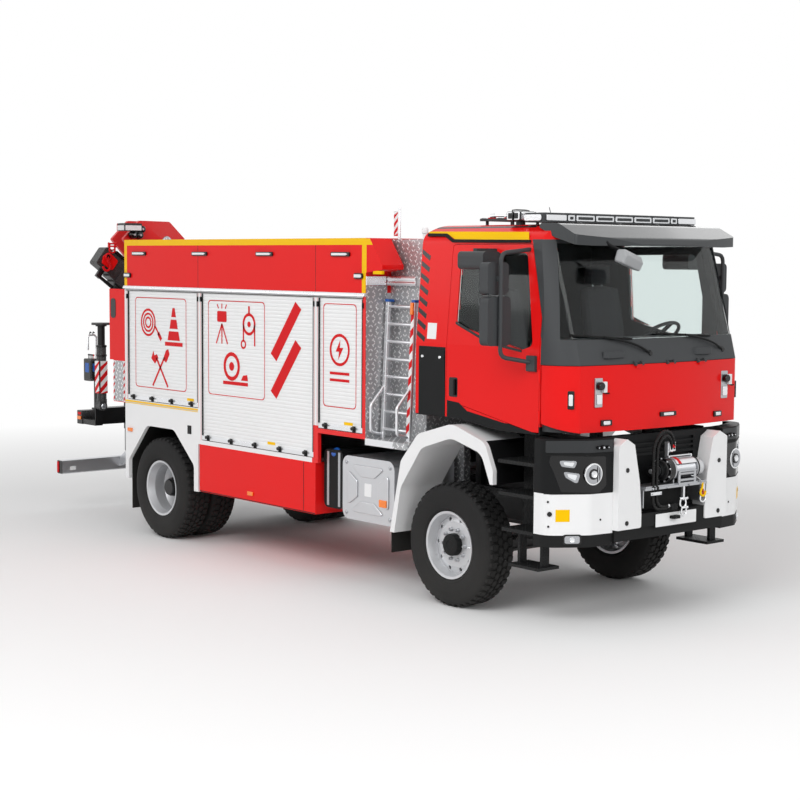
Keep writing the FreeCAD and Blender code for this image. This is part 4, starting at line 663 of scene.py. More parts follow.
def wheel_details(suffix, s):
    face = s * 1.025 + s * 0.070
    body = f"wheel_front_{suffix}"
    cap = [(0.0, 0.062), (0.040, 0.062), (0.044, 0.066), (0.080, 0.066), (0.092, 0.061), (0.098, 0.048),
           (0.099, 0.001)]
    lathe(f"hub_cover_front_{suffix}", [(r, s * run) for r, run in cap], "y", (F, face, AXLE_Z), "plastic",
          body, 40)
    wheel_nuts(f"nut_front_{suffix}", s, F, face, 0.1375,
               [(0.0, 0.036), (0.011, 0.036), (0.0135, 0.031), (0.0150, 0.008), (0.021, 0.0001)], body)
    tube(f"valve_front_{suffix}", [(F + 0.238, face - s * 0.02, AXLE_Z), (F + 0.225, face + s * 0.02, AXLE_Z),
                                   (F + 0.195, face + s * 0.03, AXLE_Z)], 0.004, "chrome", body)
    body, face = f"wheel_rear_{suffix}", s * 0.9175
    hub = [(0.0, 0.221), (0.060, 0.221), (0.082, 0.2205), (0.099, 0.190), (0.121, 0.062), (0.152, 0.0135)]
    lathe(f"hub_rear_{suffix}", [(r, s * run) for r, run in hub], "y", (R, face, AXLE_Z), "gloss_black", body,
          40)
    wheel_nuts(f"nut_rear_{suffix}", s, R, face, 0.1695,
               [(0.0, 0.052), (0.011, 0.052), (0.0135, 0.046), (0.0165, 0.012), (0.020, 0.012)], body)


sided(wheel_details)

# %% [markdown]
# ## Roller shutters: real slats, side channels, bottom rails and latches
# A locker's shutter is a row of hinged slats in two channels. A striped bump would do from afar; the slats
# are one extruded profile here, since the light catches every ridge.

# %% Roller shutters
BAYS = [(F - 5.24, F - 3.84, 1.47), (F - 3.77, F - 1.85, 1.14), (F - 1.78, BODY_FRONT - 0.04, 1.43)]
TOP = 2.665                              # the shutters' upper edge
SLATS = HALF - 0.0125                    # half width over the slats
LATCHES = (4, 5, 2)                      # on each shutter's bottom rail


def slat_sheet(x0, x1, z0, z1, face, s):
    """Interlocking slats, each gently crowned, seen from outside at |y| = face."""
    pitch = (z1 - z0) / round((z1 - z0) / 0.0365)
    rows = round((z1 - z0) / pitch)
    line = []
    for i in range(rows):
        base = z0 + i * pitch
        line += [(0.0035, base), (0.0010, base + pitch * 0.08), (0.0, base + pitch * 0.4),
                 (0.0, base + pitch * 0.6),
                 (0.0010, base + pitch * 0.92)]
    line.append((0.0035, z1))
    verts = [(x, s * (face - d), z) for x in (x0, x1) for d, z in line] + \
            [(x, s * (face - 0.020), z) for x in (x0, x1) for z in (z0, z1)]
    n = len(line)
    faces = [(i, i + 1, n + i + 1, n + i) for i in range(n - 1)]
    faces += [(2 * n, 2 * n + 1, 2 * n + 3, 2 * n + 2)]
    return verts, faces


all_v, all_f = [], []
for s in (-1, 1):
    for x0, x1, z0 in BAYS:
        v, f = slat_sheet(x0 + 0.001, x1 - 0.001, z0 + 0.001, TOP - 0.001, SLATS, s)
        all_f += [tuple(i + len(all_v) for i in face) for face in f]
        all_v += v
slats = link_mesh("shutter_slats", all_v, all_f)
finish_piece(slats, "white", "chassis")
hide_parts("shutters")


# %% Shutter trim
def shutter_trim(suffix, s):
    for b, (x0, x1, z0) in enumerate(BAYS):
        tag = f"{suffix}_{b}"
        rail = SLATS + 0.011
        plate(f"bottom_rail_{tag}", s, SLATS, rail, rect(x0 + 0.004, x1 - 0.004, z0 + 0.004, z0 + 0.052),
              "bright", bevel=0.004)
        plate(f"bottom_seal_{tag}", s, SLATS, rail, rect(x0 + 0.004, x1 - 0.004, z0 + 0.0005, z0 + 0.0035),
              "rubber", bevel=0)
        for side, x in (("a", x0 + 0.001), ("b", x1 - 0.017)):
            channel = rect(x, x + 0.016, z0 + 0.054, TOP - 0.001)
            plate(f"channel_{tag}{side}", s, SLATS, SLATS + 0.0125, channel, "gloss_black", bevel=0.002)
        count = LATCHES[b]
        for i in range(count):
            x = x0 + 0.12 + (x1 - x0 - 0.24) * i / (count - 1)
            foot = rect(x - 0.022, x + 0.022, z0 + 0.006, z0 + 0.062, 0.006)
            plate(f"latch_plate_{tag}{i}", s, rail, SLATS + 0.018, foot, "plastic", bevel=0.002)
            knob = [(0.0, s * 0.030), (0.014, s * 0.030), (0.017, s * 0.026), (0.015, s * 0.006),
                    (0.019, 0.0)]
            lathe(f"latch_knob_{tag}{i}", knob, "y", (x, s * (SLATS + 0.017), z0 + 0.040), "gloss_black",
                  count=20)
        for k, x in enumerate((x0 - 0.012, x1 + 0.012)):
            plate(f"contour_{tag}{k}", s, HALF, HALF + 0.0008, rect(x - 0.002, x + 0.002, z0, TOP),
                  "signal_red", bevel=0)


sided(shutter_trim)

# %% [markdown]
# ## Body side: lamps, grips, markers, contour frames and pictograms
# Lamps, grips and signs are small parts set on the painted walls. Signs could be an image; they are flat
# meshes made of bars, discs and rings, which stay sharp at any distance.

# %% Body side
def lamp_bar(name, s, x, z, length, height, depth=0.018):
    """A slim surround on the body's side with a faceted clear lamp in it."""
    case = rect(x - length / 2, x + length / 2, z - height / 2, z + height / 2, height * 0.35)
    plate(name + "_case", s, HALF, HALF + depth, case, "gloss_black")
    h = height * 0.28
    lens = [(x - length * 0.44, z - h), (x + length * 0.32, z - h), (x + length * 0.42, z),
            (x + length * 0.32, z + h),
            (x - length * 0.44, z + h)]
    plate(name + "_lens", s, HALF + depth * 0.6, HALF + depth + 0.004, lens, "lamp_white")


def body_side(suffix, s):
    for i, x in enumerate((F - 4.98, F - 3.79, F - 2.64, F - 1.435)):
        lamp_bar(f"side_lamp_{suffix}_{i}", s, x, 3.072, 0.28, 0.040)
    lamp_bar(f"end_lamp_{suffix}_r", s, F - 5.222, 2.835, 0.135, 0.052)
    lamp_bar(f"end_lamp_{suffix}_f", s, F - 1.165, 2.875, 0.125, 0.052)
    rail = [(1.2622, 2.690), (1.2745, 2.690), (1.2745, 2.697), (1.2665, 2.712), (1.2622, 2.7195)]
    solid(f"drip_rail_{suffix}", "x", BODY_REAR - 0.002, BODY_FRONT + 0.002, [(s * y, z) for y, z in rail],
          "bright",
          bevel=0.0015)
    for name, depth, outline, mat, bevel in (
            ("panel_grip", 0.004, rect(F - 5.600, F - 5.490, 2.355, 2.575, 0.05, 6), "gloss_black", 0.001),
            ("vent", 0.006, rect(F - 4.035, F - 3.965, 1.185, 1.275, 0.006), "plastic", 0.002),
            ("marker_rear", 0.016, rect(F - 5.235, F - 5.145, 1.115, 1.155, 0.008), "orange", 0.003),
            ("marker_mid", 0.014, rect(F - 2.93, F - 2.84, 0.66, 0.70, 0.008), "orange", 0.003),
            ("gutter", 0.004, rect(BODY_REAR + 0.03, BODY_FRONT - 0.03, 2.668, 2.676), "gloss_black", 0.001),
            ("skirt_bead", 0.002, rect(F - 3.805, F - 1.82, 0.604, 0.612), "rubber", 0.0005),
            ("skirt_edge", 0.0015, rect(F - 2.006, F - 2.000, 0.615, 1.09), "rubber", 0.0)):
        plate(f"{name}_{suffix}", s, HALF, HALF + depth, outline, mat, bevel=bevel)
    for i in range(5):
        fin = rect(F - 4.028, F - 3.972, 1.198 + i * 0.015, 1.205 + i * 0.015)
        plate(f"vent_fin_{suffix}_{i}", s, HALF + 0.006, HALF + 0.010, fin, "gloss_black", bevel=0.001)
    for i, (x, z) in enumerate(((F - 4.0, 1.545), (F - 2.55, 1.215), (F - 1.33, 1.505))):
        tab = rect(x - 0.065, x + 0.065, z - 0.014, z + 0.014)
        plate(f"tab_{suffix}_{i}", s, SLATS, SLATS + 0.0007, tab, "yellow", bevel=0)
    for i, (x0, x1, _) in enumerate(BAYS):
        for k, x in enumerate((x0 - 0.006, x1 + 0.006)):
            stop = rect(x - 0.010, x + 0.010, 2.58, 2.63, 0.004)
            plate(f"stop_{suffix}_{i}{k}", s, HALF, HALF + 0.010, stop, "plastic", bevel=0.002)


sided(body_side)


# %% Signs: how a shape is laid on
def decal(name, shapes, x, z, s, scale):
    """Flat generic shapes, each an outline or an (outline, hole) pair, laid on the slats."""
    verts, faces = [], []
    y = s * (HALF - 0.0112)
    for shape in shapes:
        outline, hole = shape if isinstance(shape, tuple) else (shape, [])
        start, n = len(verts), len(outline)
        verts += [(x - s * px * scale, y, z + pz * scale) for px, pz in outline + hole]
        if hole:
            faces += [(start + i, start + (i + 1) % n, start + n + (i + 1) % n, start + n + i)
                      for i in range(n)]
        else:
            faces.append(tuple(range(start, start + n)))
    obj = link_mesh(name, verts, faces)
    thicken(obj, 0.0006, 0)
    finish_piece(obj, "signal_red", smooth=False)


def circle(cx, cz, r, n=28):
    return around(n, r, cx, cz)


def ring(cx, cz, r, w):
    return (circle(cx, cz, r), circle(cx, cz, r - w))


def bar(x0, z0, x1, z1, w):
    d = Vector((x1 - x0, z1 - z0)).normalized() * w / 2
    n = Vector((-d.y, d.x))
    return [(x0 + n.x, z0 + n.y), (x1 + n.x, z1 + n.y), (x1 - n.x, z1 - n.y), (x0 - n.x, z0 - n.y)]


# %% Signs: frames and pictograms
def framed(half_x, half_z, w=0.008):
    """The outline of a frame with rounded corners, and the same outline drawn w smaller."""
    outer = rect(-half_x, half_x, -half_z, half_z, 0.05, 5)
    return (outer, [(x * (half_x - w) / half_x, z * (half_z - w) / half_z) for x, z in outer])


# Generic pictograms of equipment, drawn about (0, 0)
PICTOGRAMS = {
    "hose": [ring(0, 0, 1.0, 0.16), ring(0, 0, 0.70, 0.14), ring(0, 0, 0.42, 0.14),
             bar(0.9, -0.2, 1.5, -0.9, 0.16),
             bar(1.35, -0.72, 1.75, -1.2, 0.30)],
    "cone": [[(-0.75, -0.9), (0.75, -0.9), (0.75, -0.72), (-0.75, -0.72)],
             [(-0.52, -0.64), (0.52, -0.64), (0.40, -0.22), (-0.40, -0.22)],
             [(-0.35, -0.10), (0.35, -0.10), (0.24, 0.32), (-0.24, 0.32)],
             [(-0.20, 0.44), (0.20, 0.44), (0.09, 0.86), (-0.09, 0.86)]],
    "tripod": [bar(0, 0.2, -0.6, -1.0, 0.11), bar(0, 0.2, 0.6, -1.0, 0.11), bar(0, 0.2, 0, -1.0, 0.11),
               rect(-0.5, 0.5, 0.3, 0.95, 0.1), bar(-0.35, 1.1, -0.5, 1.35, 0.09), bar(0, 1.1, 0, 1.4, 0.09),
               bar(0.35, 1.1, 0.5, 1.35, 0.09)],
    "tools": [bar(-0.8, -1.0, 0.45, 0.65, 0.14),
              rounded([(0.30, 0.55), (0.62, 0.35), (0.98, 0.85), (0.85, 1.15), (0.60, 1.05)], 0.08),
              bar(0.8, -1.0, -0.40, 0.60, 0.14),
              [(-0.95, 0.55), (-0.55, 0.25), (-0.20, 0.62), (-0.35, 0.80), (-0.62, 0.72), (-0.72, 0.98)]],
    "pulley": [ring(0, 0.35, 0.62, 0.16), circle(0, 0.35, 0.16), bar(0, 0.95, 0, 1.35, 0.16),
               bar(-0.54, 0.3, -0.54, -0.55, 0.12), bar(0.54, 0.3, 0.54, -0.85, 0.12),
               ring(-0.54, -0.78, 0.26, 0.11)],
    "chock": [[(-1.0, -0.5), (1.0, -0.5), (1.0, -0.34), (-1.0, -0.34)], ring(-0.30, 0.35, 0.66, 0.18),
              circle(-0.30, 0.35, 0.2), [(0.45, -0.26), (1.0, -0.26), (0.95, 0.02), (0.62, -0.02)]],
    "bolt": [ring(0, 0.5, 0.72, 0.13),
             [(0.05, 0.95), (-0.28, 0.42), (-0.04, 0.42), (-0.10, 0.05), (0.26, 0.60), (0.02, 0.60)],
             bar(-0.7, -0.55, 0.7, -0.55, 0.12), bar(-0.7, -0.85, 0.7, -0.85, 0.12)],
}
PLACES = [                               # pictogram, bay, place from the bay's middle, height, scale
    ("hose", 0, -0.29, 2.33, 0.15), ("cone", 0, 0.22, 2.30, 0.23), ("tools", 0, -0.05, 1.84, 0.19),
    ("tripod", 1, -0.60, 2.33, 0.17), ("pulley", 1, -0.12, 2.31, 0.18), ("chock", 1, -0.36, 1.86, 0.22),
    ("bolt", 2, -0.02, 2.08, 0.21),
]
FRAMES = [                               # name, bay, half width, half height, place, height
    ("frame_lines", 0, 0.51, 0.49, -0.045, 2.11), ("frame_lines_mid", 1, 0.50, 0.485, -0.35, 2.115),
    ("frame_lines_front", 2, 0.25, 0.485, -0.02, 2.13),
]
# two broad slanted bars
ORNAMENT = [bar(-0.22, -0.46, 0.22, 0.10, 0.13), bar(-0.22, -0.06, 0.22, 0.50, 0.13)]


# %% Signs in their places
def pictograms(suffix, s):
    middle = [(x0 + x1) / 2 for x0, x1, _ in BAYS]
    for name, bay, half_x, half_z, place, z in FRAMES:
        decal(f"{name}_{suffix}", [framed(half_x, half_z)], middle[bay] + place, z, s, 1.0)
    for name, bay, place, z, scale in PLACES:
        decal(f"pictogram_{name}_{suffix}", PICTOGRAMS[name], middle[bay] + place, z, s, scale)
    decal(f"ornament_{suffix}", ORNAMENT, middle[1] + 0.50, 2.12, s, 0.92)


sided(pictograms)

# %% [markdown]
# ## Ladder niche: rails, reflective edges and the roof markers
# The way up to the roof has rails and films that are found in the dark. A film could be a painted zone; it is
# cut as slanted stripes of sheet, so that it leans with its rail.

# %% Ladder niche
def stripes(name, axis, low, high, a0, a1, b0, b1, body="chassis", count=8, slant=1.0):
    """Alternating slanted red and white film over a rectangle (a across, b along)."""
    w = a1 - a0
    step = (b1 - b0) / count
    verts, faces, slots = [], [], []
    i, j, k = AXES[axis]
    for n in range(-2, count + 2):
        lo, hi = b0 + n * step, b0 + (n + 1) * step
        poly = [(a0, lo), (a1, lo + slant * w), (a1, hi + slant * w), (a0, hi)]
        poly = [(a, min(max(b, b0), b1)) for a, b in poly]
        if max(p[1] for p in poly) - min(p[1] for p in poly) < 1e-4:
            continue
        start = len(verts)
        for a, b in poly:
            v = [0, 0, 0]
            v[i], v[j], v[k] = a, b, high
            verts.append(v)
        faces.append((start, start + 1, start + 2, start + 3))
        slots.append(n % 2)
    obj = link_mesh(name, verts, faces)
    obj.data.materials.append(mats["signal_red"])
    obj.data.materials.append(mats["white"])
    for p, m in zip(obj.data.polygons, slots):
        p.material_index = m
    thicken(obj, abs(high - low), -1 if high > low else 1)
    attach(obj, body)
    return obj


LADDER_LEAN, LADDER_HEAD, NICHE_Y = 2.7, (0.996, 2.640), 0.95


# %% Niche on each side
def niche(suffix, s):
    def leaned(obj):
        """Turns a trim drawn on the upright ladder about the ladder's head."""
        turn_about(obj, (0, s * LADDER_HEAD[0], LADDER_HEAD[1]), s * LADDER_LEAN, "X")

    plate(f"fairing_block_{suffix}", s, HALF, HALF - 0.03, rect(F - 0.968, F - 0.841, 2.893, 2.925, 0.004),
          "yellow")
    rail = [(0.996, 2.790), (1.007, 2.790), (1.015, 2.812), (1.007, 2.830), (1.015, 2.852), (1.007, 2.875),
            (0.996, 2.875)]
    x = F - 0.66
    solid(f"niche_rail_{suffix}", "x", BODY_FRONT + 0.001, x, [(s * y, z) for y, z in rail], "bright",
          bevel=0.002)
    edge = NICHE_Y + 0.082
    leaned(stripes(f"ladder_stripe_{suffix}", "y", s * edge, s * (edge + 0.001), x - 0.021, x + 0.021, 1.45,
                   2.60, count=16))
    leaned(plate(f"ladder_lamp_{suffix}", s, edge + 0.0012, edge + 0.02,
                 rect(x - 0.018, x + 0.018, 2.53, 2.64, 0.006), "orange"))
    for i, x in enumerate((F - 1.03, F - 0.66)):
        head = rect(x - 0.024, x + 0.024, *span(s * 0.962, s * 1.034))
        leaned(solid(f"ladder_cap_{suffix}_{i}", "z", 2.640, 2.665, head, "blue", bevel=0.004))
    lip = [(BODY_FRONT + 0.002, s * 1.2505), (F - 0.655, s * 1.2505, 0.055), (F - 0.655, s * 1.20),
           (F - 0.6595, s * 1.20),
           (F - 0.6595, s * 1.2445, 0.05), (BODY_FRONT + 0.002, s * 1.2495)]
    solid(f"step_edge_{suffix}", "z", 1.335, 1.3965, rounded(lip, 0.0), "bright", bevel=0.0)


sided(niche)
for k, (face, out) in enumerate(((-0.933, -1), (-0.927, 1))):
    stripes(f"roof_marker_film_{k}", "y", face + out * 0.0002, face + out * 0.001, F - 1.054, F - 0.981,
            3.241, 3.469, count=6)
lathe("roof_vent", [(0.0, 0.105), (0.020, 0.105), (0.030, 0.092), (0.030, 0.055), (0.022, 0.048),
                    (0.022, 0.0)], "z", (F - 0.77, -0.80, 3.2115), "white",
      count=24)

# %% [markdown]
# ## Cab side: roof strip, gutter, air-intake slats, lower panel, sill and handle
# The cab's wall leans inwards above the waist, and trim lies on it. Flat trim would cut into the wall, so
# each outline is cut into rows and bent to the wall's slope.

# %% Cab side
def skin_y(z):
    """Half width of the cab's side at a height."""
    if z <= 2.30:
        return 1.15
    if z <= 3.20:
        return 1.15 - 0.078 * (z - 2.30) / 0.94
    return 1.15 - 0.078 * 0.957 - 0.65 * (z - 3.20) ** 1.2


def bent_panel(name, outline, across, planes, put, out, depth, offset):
    """A flat outline cut along planes of its second or first axis, bent by put() and thickened."""
    bm = bmesh.new()
    bm.faces.new([bm.verts.new(across(*point)) for point in outline])
    for at, normal in planes:
        bmesh.ops.bisect_plane(bm, geom=bm.verts[:] + bm.edges[:] + bm.faces[:], plane_co=at, plane_no=normal)
    for v in bm.verts:
        put(v.co)
    mesh = bpy.data.meshes.new(name)
    bm.to_mesh(mesh)
    bm.free()
    obj = linked(name, mesh)
    if out(mesh) < 0:
        mesh.flip_normals()
    thicken(obj, depth, offset)
    return obj


def skin_panel(name, outline, mat, s, body="chassis", lift=0.0008, depth=0.006, rows=6):
    """A thin panel that follows the cab's side; its outline is drawn in X-Z from the front axle."""
    low, high = min(z for _, z in outline), max(z for _, z in outline)
    cuts = [z for z in [low + (high - low) * i / rows for i in range(1, rows)] + [2.30] if low < z < high]

    def put(co):
        co.y = s * (skin_y(co.z) + lift)

    obj = bent_panel(name, outline, lambda x, z: (F + x, 0, z), [((0, 0, z), (0, 0, 1)) for z in cuts], put,
                     lambda mesh: mesh.polygons[0].normal.y * s, depth, 1)
    return finish_piece(obj, mat, body, bevel=0.0015)


# %% Cab side trim
def cab_side(suffix, s):
    door = f"door_{suffix}"
    for i in range(8):
        z = 3.09 - i * 0.102
        slot = [(-0.474, z + 0.03), (-0.474, z - 0.012), (-0.369, z - 0.072), (-0.359, z - 0.030)]
        skin_panel(f"intake_slot_{suffix}_{i}", slot, "gloss_black", s, lift=0.0002, depth=0.0012, rows=2)
    cover = [(-0.435, 2.255), (-0.10, 2.245), (-0.085, 1.90), (-0.085, 1.668), (-0.435, 1.668)]
    skin_panel(f"lower_cover_{suffix}", cover, "plastic", s, depth=0.004)
    for i, x in enumerate((F - 0.385, F - 0.155)):
        bolt = [(0.0, s * 0.008), (0.012, s * 0.007), (0.015, 0.0)]
        lathe(f"cover_bolt_{suffix}_{i}", bolt, "y", (x, s * 1.155, 2.18), "chrome", count=16)
    skin_panel(f"label_plate_{suffix}", rect(-0.335, -0.215, 2.335, 2.475), "white", s, depth=0.0008)
    skin_panel(f"label_cover_{suffix}", rect(-0.335, -0.215, 2.49, 2.545), "red", s, depth=0.0008)
    strip = [(-0.425, 3.255), (-0.15, 3.245), (-0.06, 3.205), (0.86, 3.190), (0.83, 3.262), (-0.425, 3.275)]
    skin_panel(f"roof_strip_{suffix}", strip, "yellow", s, depth=0.0008, rows=5)
    gutter = [(-0.425, 3.232), (-0.19, 3.228), (-0.08, 3.178), (0.88, 3.172), (0.88, 3.196), (-0.07, 3.203),
              (-0.17, 3.252), (-0.425, 3.256)]
    skin_panel(f"roof_gutter_{suffix}", gutter, "rubber", s, depth=0.010, rows=3)
    sill = [(-0.060, 1.812), (0.095, 1.800), (0.20, 1.735), (0.86, 1.640), (1.045, 1.612), (1.045, 1.606),
            (0.50, 1.606),
            (0.06, 1.668), (-0.060, 1.668)]
    skin_panel(f"door_sill_{suffix}", sill, "plastic", s, lift=0.0005, depth=0.001)
    plate(f"handle_recess_{suffix}", s, 1.1502, 1.1512, rect(F - 0.035, F + 0.075, 1.845, 2.015, 0.02, 5),
          "gloss_black", door, 0.0)
    plate(f"handle_grip_{suffix}", s, 1.151, 1.168, rect(F + 0.030, F + 0.052, 1.86, 2.00, 0.008, 5),
          "plastic", door, 0.004)
    rail = [(0.03, 2.475), (0.46, 2.322), (0.86, 2.270), (0.86, 2.290), (0.46, 2.345), (0.03, 2.500)]
    skin_panel(f"window_rail_{suffix}", rail, "gloss_black", s, body=door, lift=0.0005, depth=0.004, rows=3)


sided(cab_side)

# %% [markdown]
# ## Cab front: lamps, sockets, wipers and grab handle
# The front is slightly bowed, with rounded corners. Lamps could be placed by eye; one formula gives the
# bow's X at each width, and each lamp is turned to face along it.

# %% Cab front
BOW, BOW_HALF = 0.08, 0.985              # the front panel's bow and the half width where its corners start


def bow_x(y):
    """X of the front panel's surface at a width."""
    a = abs(y)
    if a <= BOW_HALF:
        radius = (BOW_HALF ** 2 + BOW ** 2) / (2 * BOW)
        return F + 1.45 - (radius - math.sqrt(radius * radius - a * a))
    t = (a - BOW_HALF) / 0.165
    return F + 1.37 - 0.295 * t ** 1.5


def front_lamp(name, y, z, w, h):
    """A small lamp or grip on the front flap, turned to its bow."""
    turn = Matrix.Rotation(-math.atan2(bow_x(y + 0.02) - bow_x(y - 0.02), 0.04), 4, "Z")
    for part, low, high, k, mat in (("case", -0.008, 0.016, 1.0, "gloss_black"),
                                    ("lens", 0.010, 0.020, 0.62, "lamp_white")):
        outline = rect(-w / 2 * k, w / 2 * k, -h / 2 * k, h / 2 * k, min(w, h) * 0.18)
        obj = solid(f"{name}_{part}", "x", low, high, outline, mat, "front_flap")
        obj.data.transform(Matrix.Translation((bow_x(y), y, z)) @ turn)


front_lamp("flap_lamp_right", -0.715, 1.705, 0.115, 0.048)
front_lamp("flap_lamp_left", 0.70, 1.705, 0.115, 0.048)
front_lamp("corner_lamp_right", -1.035, 1.90, 0.055, 0.150)
front_lamp("corner_lamp_left", 1.035, 1.90, 0.055, 0.150)
front_lamp("flap_grip", 0.0, 1.745, 0.20, 0.038)


# %% Sockets and wipers
def socket(suffix, s):
    y, flap = s * 0.80, "front_flap"
    x = bow_x(y)
    face = x + 0.010
    solid(f"socket_plate_{suffix}", "x", x - 0.006, face, rect(y - 0.043, y + 0.043, 1.835, 2.075, 0.008),
          "steel", flap, 0.002)
    lathe(f"socket_body_{suffix}", [(0.0, 0.040), (0.030, 0.040), (0.034, 0.034), (0.034, 0.0)], "x",
          (face, y, 2.010),
          "gloss_black", flap, 28)
    solid(f"socket_lid_{suffix}", "x", face, x + 0.022, rect(y - 0.030, y + 0.030, 1.86, 1.94, 0.012, 5),
          "bright", flap)
    solid(f"socket_latch_{suffix}", "x", face, x + 0.034, rect(y + 0.033, y + 0.075, 1.955, 2.045, 0.005),
          "white", flap)
    hook = [(x + 0.02, y + 0.05, 1.955), (x + 0.035, y + 0.075, 1.945), (x + 0.035, y + 0.095, 1.950)]
    tube(f"socket_hook_{suffix}", hook, 0.006, "plastic", flap)


sided(socket)


def screen_x(y, z):
    """X of the windscreen's outer face."""
    return bow_x(y) - 0.05 - 0.236 * (z - 2.366) / 0.804


def wiper(name, y0, knee_y, ya, yb):
    """One wiper: a pivot at y0, an arm over its knee, and a blade along the glass from ya to yb."""
    foot = (bow_x(y0) - 0.030, y0, 2.262)
    knee = (screen_x(knee_y, 2.37) + 0.048, knee_y, 2.366)
    mid = (ya + yb) / 2
    lathe(name + "_pivot", [(0.0, 0.030), (0.018, 0.030), (0.024, 0.020), (0.026, 0.0)], "x",
          (foot[0] - 0.01, foot[1], foot[2]), "gloss_black", count=20)
    tube(name + "_arm", [foot, (foot[0] + 0.02, foot[1], foot[2]), knee,
                         (screen_x(mid, 2.405) + 0.022, mid, 2.405)], 0.010, "plastic")
    blade = [(ya + (yb - ya) * i / 6, 2.425 - 0.040 * i / 6) for i in range(7)]
    tube(name + "_blade", [(screen_x(y, z) + 0.011, y, z) for y, z in blade], 0.008, "rubber")


wiper("wiper_right", -0.205, -0.445, -1.02, -0.40)
wiper("wiper_left", 0.80, 0.544, -0.10, 0.625)
for i, y in enumerate((-0.62, 0.48)):
    x = bow_x(y) - 0.022
    grip = [(x - 0.01, y - 0.13), (x + 0.028, y - 0.10), (x + 0.028, y + 0.10), (x - 0.01, y + 0.13)]
    solid(f"cowl_grip_{i}", "z", 2.232, 2.290, rounded(grip, 0.01), "grey_plastic", bevel=0.005)

# %% [markdown]
# ## Bumper: headlamps, fog lamps, plate and fasteners
# A headlamp here wraps round the bumper's corner. It could be cut out of the bumper; thin panels are bent
# round its outline instead, so that the solid bumper stays as it is.

# %% Bumper
BUMPER = rounded([(F + 1.100, -1.225), (F + 1.250, -1.225, 0.16), (F + 1.450, -0.930, 0.12),
                  (F + 1.480, -0.690)], 0.0, 10)


def bumper_point(y, out=0.0):
    """Point on the bumper's right corner outline at a width, pushed outwards, and the angle it faces."""
    y = -abs(y)
    for a, b in zip(BUMPER, BUMPER[1:]):
        if min(a[1], b[1]) - 1e-9 <= y <= max(a[1], b[1]) + 1e-9 and abs(a[1] - b[1]) > 1e-9:
            t = (y - a[1]) / (b[1] - a[1])
            d = Vector((b[0] - a[0], b[1] - a[1])).normalized()
            n = Vector((d.y, -d.x))
            if n.x < 0:
                n = -n
            return a[0] + (b[0] - a[0]) * t + n.x * out, y + n.y * out, math.atan2(n.y, n.x)
    return BUMPER[-1][0] + out, y, 0.0


def corner_strip(name, outline, out, mat, s, steps=18, depth=0.01):
    """A panel drawn in (width, height) that wraps round the bumper's corner."""
    low, high = min(y for y, _ in outline), max(y for y, _ in outline)

    def put(co):
        co.x, y, _ = bumper_point(co.y, out)
        co.y = -s * y

    planes = [((0, low + (high - low) * i / steps, 0), (0, 1, 0)) for i in range(1, steps)]
    obj = bent_panel(name, outline, lambda y, z: (0, y, z), planes, put,
                     lambda mesh: sum(p.normal.x for p in mesh.polygons), depth, -1)
    finish_piece(obj, mat, bevel=0.002)


# %% Lamp discs and the headlamps' tables
def lamp_disc(name, y, z, r, s, mat, depth=0.012, out=0.0):
    x, yy, angle = bumper_point(y, out)
    profile = [(0.0, depth * 0.6), (r * 0.55, depth * 0.7), (r * 0.9, depth), (r, depth * 0.8), (r, -0.004)]
    obj = lathe(name, profile, "x", (0, 0, 0), mat, count=36)
    obj.data.transform(Matrix.Translation((x, -s * yy, z)) @ Matrix.Rotation(-s * angle, 4, "Z"))


BEZEL = [(-1.205, 1.395), (-1.13, 1.155), (-0.835, 1.145), (-0.765, 1.20), (-0.775, 1.44), (-1.20, 1.455)]
STRIPS = [                               # name, outline, how far out, material, depth
    ("headlamp_bezel", rounded(BEZEL, 0.02), 0.0025, "gloss_black", 0.006),
    ("headlamp_upper", rounded([(-1.15, 1.415), (-1.13, 1.365), (-1.04, 1.35), (-1.02, 1.41)], 0.02),
     0.009, "reflector", 0.012),
    ("headlamp_upper_core", rounded([(-1.12, 1.402), (-1.11, 1.378), (-1.055, 1.366), (-1.04, 1.398)], 0.01),
     0.011, "lamp_white", 0.003),
    ("headlamp_lower", rounded([(-1.12, 1.325), (-1.10, 1.275), (-1.02, 1.22), (-1.00, 1.305)], 0.02),
     0.009, "reflector", 0.012),
    ("headlamp_lower_core", rounded([(-1.095, 1.308), (-1.08, 1.278), (-1.035, 1.250), (-1.022, 1.295)],
                                    0.01),
     0.011, "lamp_white", 0.003),
    ("band_line", rect(-1.215, -0.70, 1.452, 1.462), 0.004, "rubber", 0.004),
    ("upper_band", rect(-1.218, -0.700, 1.475, 1.574, 0.008, 5), 0.005, "band_grey", 0.004),
    ("corner_seam", rect(-1.222, -0.695, 1.136, 1.144), 0.0015, "rubber", 0.002),
    ("fog_lamp_frame", rect(-1.115, -0.985, 0.722, 0.808, 0.022, 5), 0.006, "gloss_black", 0.006),
    ("fog_lamp", rect(-1.102, -0.998, 0.734, 0.796, 0.018, 5), 0.0075, "reflector", 0.004),
    ("corner_plate", rect(-1.165, -1.068, 0.912, 1.012), 0.0015, "yellow", 0.002),
]
LAMP_Y, LAMP_Z = -0.905, 1.30
DISCS = [                                # name, width, height, radius, material, depth, how far out
    ("headlamp_rim_@", LAMP_Y, LAMP_Z, 0.090, "chrome", 0.010, 0.003),
    ("headlamp_main_@", LAMP_Y, LAMP_Z, 0.080, "reflector", 0.013, 0.003),
    ("headlamp_shade_@", LAMP_Y, LAMP_Z, 0.044, "gloss_black", 0.018, 0.003),
    ("headlamp_core_@", LAMP_Y, LAMP_Z, 0.030, "lamp_white", 0.022, 0.003),
    ("fog_bulb_@", -1.05, 0.765, 0.022, "lamp_white", 0.014, 0.002),
    ("corner_port_@", -1.200, 0.975, 0.020, "gloss_black", 0.005, 0.0),
]
